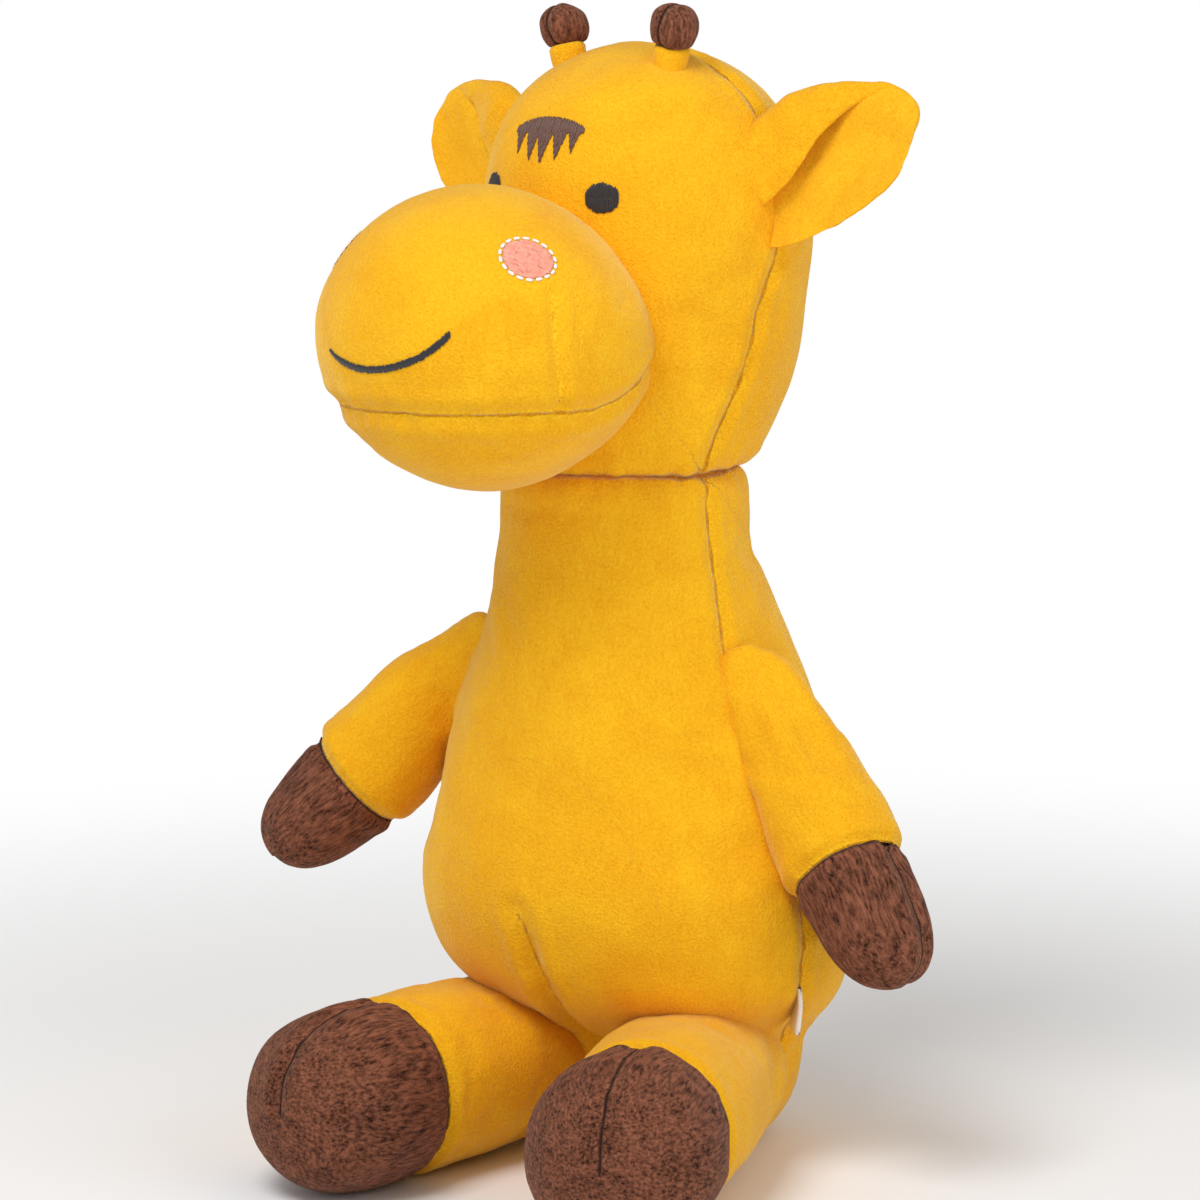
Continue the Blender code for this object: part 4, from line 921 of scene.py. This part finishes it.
# horns and tail: golden stalks with brown ends; rows are along, radius
horn = {
    "root": (0.018, 0.002, 0.13), "lean": 12, "groove": (0.0016, 0.0005),
    "stalk": ((-0.002, 0), (-0.0015, 0.006), (0.002, 0.0058), (0.007, 0.0052), (0.012, 0.0054), (0.0143, 0.005), (0.0145, 0)),
    "tip": ((0.0145, 0), (0.0147, 0.005), (0.0165, 0.0066), (0.0195, 0.0074), (0.023, 0.0068), (0.0255, 0.0048),
            (0.0268, 0.0022), (0.0272, 0)),
}
tail = {
    "root": (0, 0.0385, 0.03), "turn": 52, "droop": 14, "bend": (0, 0.012),
    "cord": ((-0.006, 0), (-0.005, 0.0034), (0, 0.006), (0.006, 0.0052), (0.012, 0.0044), (0.028, 0.0041), (0.036, 0.0043),
             (0.0379, 0.0036), (0.038, 0)),
    "tuft": ((0.0382, 0), (0.0384, 0.0036), (0.0415, 0.006), (0.048, 0.0078), (0.054, 0.0058), (0.0588, 0.0026), (0.0603, 0)),
}


def stalkOf(name, rows, place, count, step, look, *lumps):
    made = toObject(name, loft([(along, radius, radius) for along, radius in rows], place, count, step), look)
    ripple(made, *lumps)
    return made, points(made, place)


for name, side in sides.items():
    place = headPlace @ moved(side * horn["root"][0], *horn["root"][1:]) @ turned(side * horn["lean"], "Y")
    stalk, local = stalkOf(f"horn{name.title()}Stalk", horn["stalk"], place, 40, 0.001, goldenPlush, (0.006, 0.0005, 51))
    finishSkin(stalk, place, np.where(local[:, 1] > 0, local[:, 0], 1))
    settle(stalk, ("head",), (f"horn_{name}_stalk",), "yellow_plush", 0.7)
    tip, local = stalkOf(f"horn{name.title()}Tip", horn["tip"], place, 40, 0.001, brownPlush, (0.006, 0.0006, 53))
    carve(tip, local[:, 0], *horn["groove"])
    finishSkin(tip, place, local[:, 0])
    settle(tip, ("head",), (f"horn_{name}_tip",), "brown_plush", 0.8)

tailTurn = math.radians(tail["turn"])
tailRun = Vector((-math.sin(tailTurn), math.cos(tailTurn), -math.tan(math.radians(tail["droop"]))))
tailPlace = frameOn(Vector(tail["root"]), tailRun, Vector((0, 0, 1)))
tailSkin, local = stalkOf("tailSkin", tail["cord"], tailPlace, 36, 0.0014, goldenPlush, (0.008, 0.0007, 61))
finishSkin(tailSkin, tailPlace, np.where(local[:, 1] < 0, local[:, 0], 1))
start, end = (tailPlace @ Vector((0, 0, along)) for along in tail["bend"])
settle(tailSkin, ("torso", "tail"), ("tail",), "yellow_plush", 0.6, start, end)
tuft, local = stalkOf("tailTuft", tail["tuft"], tailPlace, 48, 0.0012, brownPlush, (0.005, 0.001, 63))
finishSkin(tuft, tailPlace)
settle(tuft, ("tail",), ("tail_tuft",), "brown_plush", 0.7)
print("horns and tail made")

# mane: a strip of brown plush along the middle of the back
maneStrip = {"halfWidth": 0.0038, "thick": 0.006, "lift": 0.001, "head": (0.0066, 0.1252), "neck": (0.1325, 0.1925)}


def mane(name, rows, place, reach, bodies, node, **bend):
    kept = [row for row in smoothRows(rows, 0.004) if reach[0] <= row[0] <= reach[1]]
    line = [(0, row[3] + row[2] + maneStrip["lift"], row[0]) for row in kept]
    mesh = bmesh.new()
    firstRing = bmesh.ops.create_circle(mesh, cap_ends=False, segments=20, radius=1)["verts"]
    bmesh.ops.scale(mesh, vec=(maneStrip["halfWidth"], maneStrip["thick"], 1), verts=firstRing)
    bmesh.ops.translate(mesh, vec=line[0], verts=firstRing)
    edges = list(mesh.edges)
    for row, last in zip(kept[1:], kept):
        ring, edges = drawnOut(mesh, edges)
        bmesh.ops.translate(mesh, vec=(0, row[3] + row[2] - last[3] - last[2], row[0] - last[0]), verts=ring)
    for verts, spot in ((firstRing, line[0]), (ring, line[-1])):
        bmesh.ops.pointmerge(mesh, verts=verts, merge_co=spot)
    bmesh.ops.transform(mesh, matrix=place, verts=mesh.verts)
    outward(mesh)
    bmesh.ops.subdivide_edges(mesh, edges=mesh.edges, cuts=1, use_grid_fill=True, smooth=0.3)
    made = toObject(name, mesh, brownPlush)
    ripple(made, (0.006, 0.001, 71))
    finishSkin(made, place)
    settle(made, bodies, (node,), "brown_plush", 0.6, **bend)


mane("maneHead", headRows, headBase, maneStrip["head"], ("head",), "mane_head")
mane("maneNeck", torsoRows, flat, maneStrip["neck"], ("torso", "head"), "mane_neck", **neckBend)


# embroidery and appliqué, laid on the finished skins
def onSkin(tree, place, x, y, lift=0.0):
    # the skin's point under (x, y) of a frame whose z points out
    out = wayOf(place)
    hit, normal, _, _ = tree.ray_cast(place @ Vector((x, y, 0)) + out * 0.03, -out)
    return hit + normal * lift, normal


def stitch(mesh, a, b, normal, radius, thin=0.6):
    # one thread lying from a to b: a six-sided rod, thin at its ends
    run = b - a
    if run.length < 1e-6:
        return
    firstRing = bmesh.ops.create_circle(mesh, cap_ends=False, segments=6, radius=radius * 0.35)["verts"]
    edges = list({e for v in firstRing for e in v.link_edges})
    rod = list(firstRing)
    for share, size in ((0.12, 0.9), (0.5, 1.05), (0.88, 0.9), (1.0, 0.35)):
        ring, edges = drawnOut(mesh, edges)
        for v in ring:
            across = Vector((v.co.x, v.co.y)).normalized() * radius * size
            v.co = Vector((across.x, across.y * thin, run.length * share))
        rod += ring
    for v in firstRing:
        v.co.y *= thin
    for end in (firstRing, ring):
        bmesh.ops.contextual_create(mesh, geom=end)
    bmesh.ops.transform(mesh, matrix=frameOn(a, run, normal), verts=rod)


def sewOn(name, mesh, look, node, slot):
    settle(toObject(name, outward(mesh), look), ("head",), (node,), slot)


satin = {
    "long": 0.0032, "slip": 0.0001, "sway": 0.00015, "thread": 0.00036, "lift": 0.7 * 0.00036, "over": 0.0002,
    "ragged": 0.0003,
}


def satinRow(mesh, tree, place, x, low, top, kind):
    # one row of satin threads from low to top, each a little over the next
    count = max(1, int((top - low) / kind["long"]))
    for k in range(count):
        start = x + (random.uniform(-kind["slip"], kind["slip"]) if kind["slip"] else 0)
        a, normal = onSkin(tree, place, start, low + (top - low) * k / count - kind["over"], kind["lift"])
        end = start + random.uniform(-kind["sway"], kind["sway"])
        b, _ = onSkin(tree, place, end, low + (top - low) * (k + 1) / count + kind["over"], kind["lift"])
        stitch(mesh, a, b, normal, kind["thread"])


def satinOval(tree, place, halfLong, halfShort, pitch):
    # threads laid side by side across an oval
    mesh = bmesh.new()
    count = int(2 * halfLong / pitch)
    for i in range(count + 1):
        x = -halfLong + 2 * halfLong * i / count
        reach = halfShort * math.sqrt(max(0, 1 - (x / halfLong) ** 2))
        if reach < 0.0004:
            continue
        top = reach + random.uniform(-satin["ragged"], satin["ragged"])
        low = -reach + random.uniform(-satin["ragged"], satin["ragged"])
        satinRow(mesh, tree, place, x, low, top, satin)
    return mesh


headTree, muzzleTree = treeOf(headSkin), treeOf(muzzleSkin)
headUp = wayOf(headPlace)


def headSpot(angle, rise):
    # a frame on the head, this far round from the nose and up
    out = wayOf(headPlace, (math.sin(angle), -math.cos(angle), 0))
    return frameOn(headPlace @ Vector((0, head["back"], rise)) + out * head["halfWidth"], out, headUp)


# the far eye is sewn a little higher and wider in the photograph
eye = {"turn": {"left": 27, "right": 28.5}, "rise": {"left": 0.1014, "right": 0.1034}, "oval": (0.0052, 0.0043, 0.00042)}
cheek = {
    "spot": (0.0366, -0.019, 0.0257), "swell": (0.0502, 0.0445, 0.0438), "turn": 28, "oval": (0.0064, 0.0073, 0.00046),
    "ring": (0.0081, 0.0072), "stitches": 18, "gap": 0.14, "thread": 0.00052,
}


def cheekSpot(side):
    local = Vector((side * cheek["spot"][0], *cheek["spot"][1:]))
    out = wayOf(headPlace, [v / s**2 for v, s in zip(local, cheek["swell"])])
    return frameOn(headPlace @ (Vector(muzzleSpot) + local), out, headUp) @ turned(-side * cheek["turn"], "Z")


for name, side in sides.items():
    place = headSpot(side * math.radians(eye["turn"][name]), eye["rise"][name])
    sewOn(f"eye{name.title()}", satinOval(headTree, place, *eye["oval"]), blackThread, f"eye_{name}", "black_thread")
    place = cheekSpot(side)
    mesh = satinOval(muzzleTree, place @ turned(90, "Z"), *cheek["oval"])
    sewOn(f"cheek{name.title()}", mesh, salmonThread, f"cheek_{name}", "salmon_thread")
    mesh = bmesh.new()
    for i in range(cheek["stitches"]):
        angles = [2 * math.pi * (i + share) / cheek["stitches"] for share in (cheek["gap"], 1 - cheek["gap"])]
        (a, normal), (b, _) = (onSkin(muzzleTree, place, cheek["ring"][0] * math.cos(angle), cheek["ring"][1] * math.sin(angle),
                                      0.0003) for angle in angles)
        stitch(mesh, a, b, normal, cheek["thread"])
    sewOn(f"cheek{name.title()}Stitches", mesh, whiteThread, f"cheek_{name}_stitches", "white_thread")

# smile: short slanted stitches along the line that the photograph shows
smile = {
    "line": ((331, 350), (335, 355), (341, 360), (351, 365.5), (363, 369), (376, 369.5), (390, 368), (404, 364), (419, 358),
             (433, 349), (443, 341), (450, 334)),
    "pitch": 0.0003, "halfWidth": 0.00095, "slant": 0.7, "thread": 0.00034,
}
smileLine = smoothRows([tuple(p) + (0,) for p in seen(muzzleTree, smile["line"])], smile["pitch"])
mesh = bmesh.new()
for i, (here, following) in enumerate(zip(smileLine, smileLine[1:])):
    t, spot = i / len(smileLine), Vector(here[:3])
    run = (Vector(following[:3]) - spot).normalized()
    normal = muzzleTree.find_nearest(spot)[1]
    half = smile["halfWidth"] * min(1, 0.45 + 3.2 * t, 0.7 + 6 * (1 - t)) * random.uniform(0.8, 1.2)
    across, along = normal.cross(run).normalized() * half, run * half * smile["slant"]
    a, b = (muzzleTree.find_nearest(spot + across * end + along * end)[0] + normal * 0.0003 for end in (-1, 1))
    stitch(mesh, a, b, normal, smile["thread"])
sewOn("smile", mesh, blackThread, "smile", "black_thread")

# forelock: brown threads fanned into pointed tips
forelock = {
    "rise": 0.1175, "halfWidth": 0.013, "halfHeight": 0.00675, "threads": 52,
    "satin": dict(satin, long=0.0034, slip=0, sway=0.0003, thread=0.00038, lift=0.0003),
    "tips": ((-0.8, -0.55), (-0.38, -0.85), (0.00, -1.00), (0.42, -0.8), (0.8, -0.5)),
}
mesh, place = bmesh.new(), headSpot(0, forelock["rise"])
for i in range(forelock["threads"]):
    share = -1 + 2 * i / (forelock["threads"] - 1)
    low = min(0.35, *(depth + abs(share - tip) * 6.2 for tip, depth in forelock["tips"]))
    top = math.sqrt(1 - 0.7 * share * share)
    satinRow(mesh, headTree, place, share * forelock["halfWidth"], low * forelock["halfHeight"], top * forelock["halfHeight"],
             forelock["satin"])
sewOn("forelock", mesh, brownThread, "forelock", "brown_thread")
print("embroidery made")

# spots: patches of brown plush with a soft edge
dots = {
    "headTurn": 152, "headRise": 0.077, "headRadius": 0.013, "backRadius": 0.015, "thick": 0.0012, "sunk": 0.0003, "uneven": 0.07,
    "back": ((0.33, 0.12), (0.47, -0.17), (0.66, 0.08)),  # shares of the height and of the half turn
}


def patch(name, tree, place, radius, body, node, seed):
    mesh = bmesh.new()
    bmesh.ops.create_grid(mesh, x_segments=26, y_segments=26, size=1)
    for vert in mesh.verts:
        x, y = vert.co.x, vert.co.y
        disc = Vector((x * math.sqrt(1 - y * y / 2), y * math.sqrt(1 - x * x / 2)))
        angle = math.atan2(disc.y, disc.x)
        wave = 1 + dots["uneven"] * noise.noise(Vector((math.cos(angle) * 1.4, math.sin(angle) * 1.4, seed)))
        lift = dots["thick"] * (1 - min(1, disc.length) ** 6) - dots["sunk"]
        vert.co = onSkin(tree, place, disc.x * radius * wave, disc.y * radius * wave, lift)[0]
    walls = bmesh.ops.extrude_face_region(mesh, geom=list(mesh.faces), use_keep_orig=True)["geom"]
    bmesh.ops.translate(mesh, vec=-wayOf(place) * dots["thick"], verts=[g for g in walls if isinstance(g, bmesh.types.BMVert)])
    made = toObject(name, outward(mesh), brownPlush)
    finishSkin(made, place @ turned(-90, "X"))
    settle(made, (body,), (node,), "brown_plush")


for name, side in sides.items():
    place = headSpot(side * math.radians(dots["headTurn"]), dots["headRise"])
    patch(f"headSpot{name.title()}", headTree, place, dots["headRadius"], "head", f"head_spot_{name}", side)
for number, (up, around) in enumerate(dots["back"], 1):
    out = Vector((math.sin(math.pi * around), math.cos(math.pi * around), 0))
    place = frameOn(Vector((0, 0, up * torso["height"])) + out * torso["halfWidth"], out, Vector((0, 0, 1)))
    patch(f"backSpot{number}", torsoTree, place, dots["backRadius"], "torso", f"back_spot_{number}", number)

# label: a blank ribbon folded over, caught in the side seam and bent forward
label = {
    "root": (0.056, -0.009, 0.0505), "turn": 44, "height": 0.014, "long": 0.0125, "gap": 0.0007, "sway": 0.0004,
    "thick": 0.00022,
}
mesh = bmesh.new()
bmesh.ops.create_grid(mesh, x_segments=40, y_segments=6, size=1)
hinge = moved(*label["root"]) @ turned(-label["turn"], "Z")
for vert in mesh.verts:
    share = abs(vert.co.x)
    apart = math.copysign(math.sqrt(1 - (1 - min(share / 0.1, 1)) ** 2), vert.co.x) * label["gap"]
    sway = label["sway"] * math.sin(vert.co.y * 2.2 + 1)
    vert.co = hinge @ Vector((label["long"] * (1 - share), apart + sway, vert.co.y * label["height"] / 2))
bmesh.ops.solidify(mesh, geom=list(mesh.faces), thickness=label["thick"])
settle(toObject("sideLabel", outward(mesh), whiteRibbon), ("torso",), ("side_label",), "white_ribbon")
print("patches and label made")

# floor, backdrop and light
studio = {
    "floor": 0.94, "fadeFrom": 0.2, "fadeTo": 0.62, "fill": 0.5, "middle": (0, -0.02, 0.17),
    # size, power, and how far towards the camera, to the right of it and up
    "keyLight": (0.7, 13, 0.8, -0.45, 1.1), "fillLight": (1.0, 5, 1.0, 0.9, 0.1),
}
floorMesh = bmesh.new()
bmesh.ops.create_grid(floorMesh, x_segments=1, y_segments=1, size=12)
grey = (studio["floor"],) * 3 + (1,)
floorLook, tree, shader = newLook("paleFloor", {"Base Color": grey, "Roughness": 0.9, "Specular IOR Level": 0.1})
floor = toObject("floor", floorMesh, floorLook)
floor.location.z = -0.0002
# past the toy's shadow the floor runs into the white backdrop
coords = addNode(tree, "ShaderNodeTexCoord")
far = addNode(tree, "ShaderNodeVectorMath", {0: coords.outputs["Object"]}, operation="LENGTH")
given = {"Value": far.outputs["Value"], "From Min": studio["fadeFrom"], "From Max": studio["fadeTo"]}
fade = addNode(tree, "ShaderNodeMapRange", given, interpolation_type="SMOOTHSTEP")
white = addNode(tree, "ShaderNodeEmission")
mix = addNode(tree, "ShaderNodeMixShader", {0: fade.outputs["Result"], 1: shader.outputs[0], 2: white.outputs[0]})
tree.links.new(mix.outputs[0], tree.nodes["Material Output"].inputs[0])
floor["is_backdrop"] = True

world = bpy.data.worlds.new("studio")
scene.world = world
world.use_nodes = True
tree = world.node_tree
tree.nodes.clear()
fill = addNode(tree, "ShaderNodeBackground", {"Color": (1, 1, 1, 1), "Strength": studio["fill"]})
behind = addNode(tree, "ShaderNodeBackground", {"Color": (1, 1, 1, 1), "Strength": 1.0})
path = addNode(tree, "ShaderNodeLightPath")
mix = addNode(tree, "ShaderNodeMixShader", {0: path.outputs["Is Camera Ray"], 1: fill.outputs[0], 2: behind.outputs[0]})
addNode(tree, "ShaderNodeOutputWorld", {0: mix.outputs[0]})

middle = Vector(studio["middle"])
for name in ("keyLight", "fillLight"):
    size, power, near, right, up = studio[name]
    data = bpy.data.lights.new(name, "AREA")
    data.shape = "SQUARE"
    data.size = size
    data.energy = power
    lamp = bpy.data.objects.new(name, data)
    scene.collection.objects.link(lamp)
    lamp.location = middle + towardCamera * near + rightWay * right + Vector((0, 0, up))
    lamp.rotation_euler = (middle - lamp.location).to_track_quat("-Z", "Y").to_euler()
scene.view_settings.view_transform = "Standard"
low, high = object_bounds()
print("scene made")
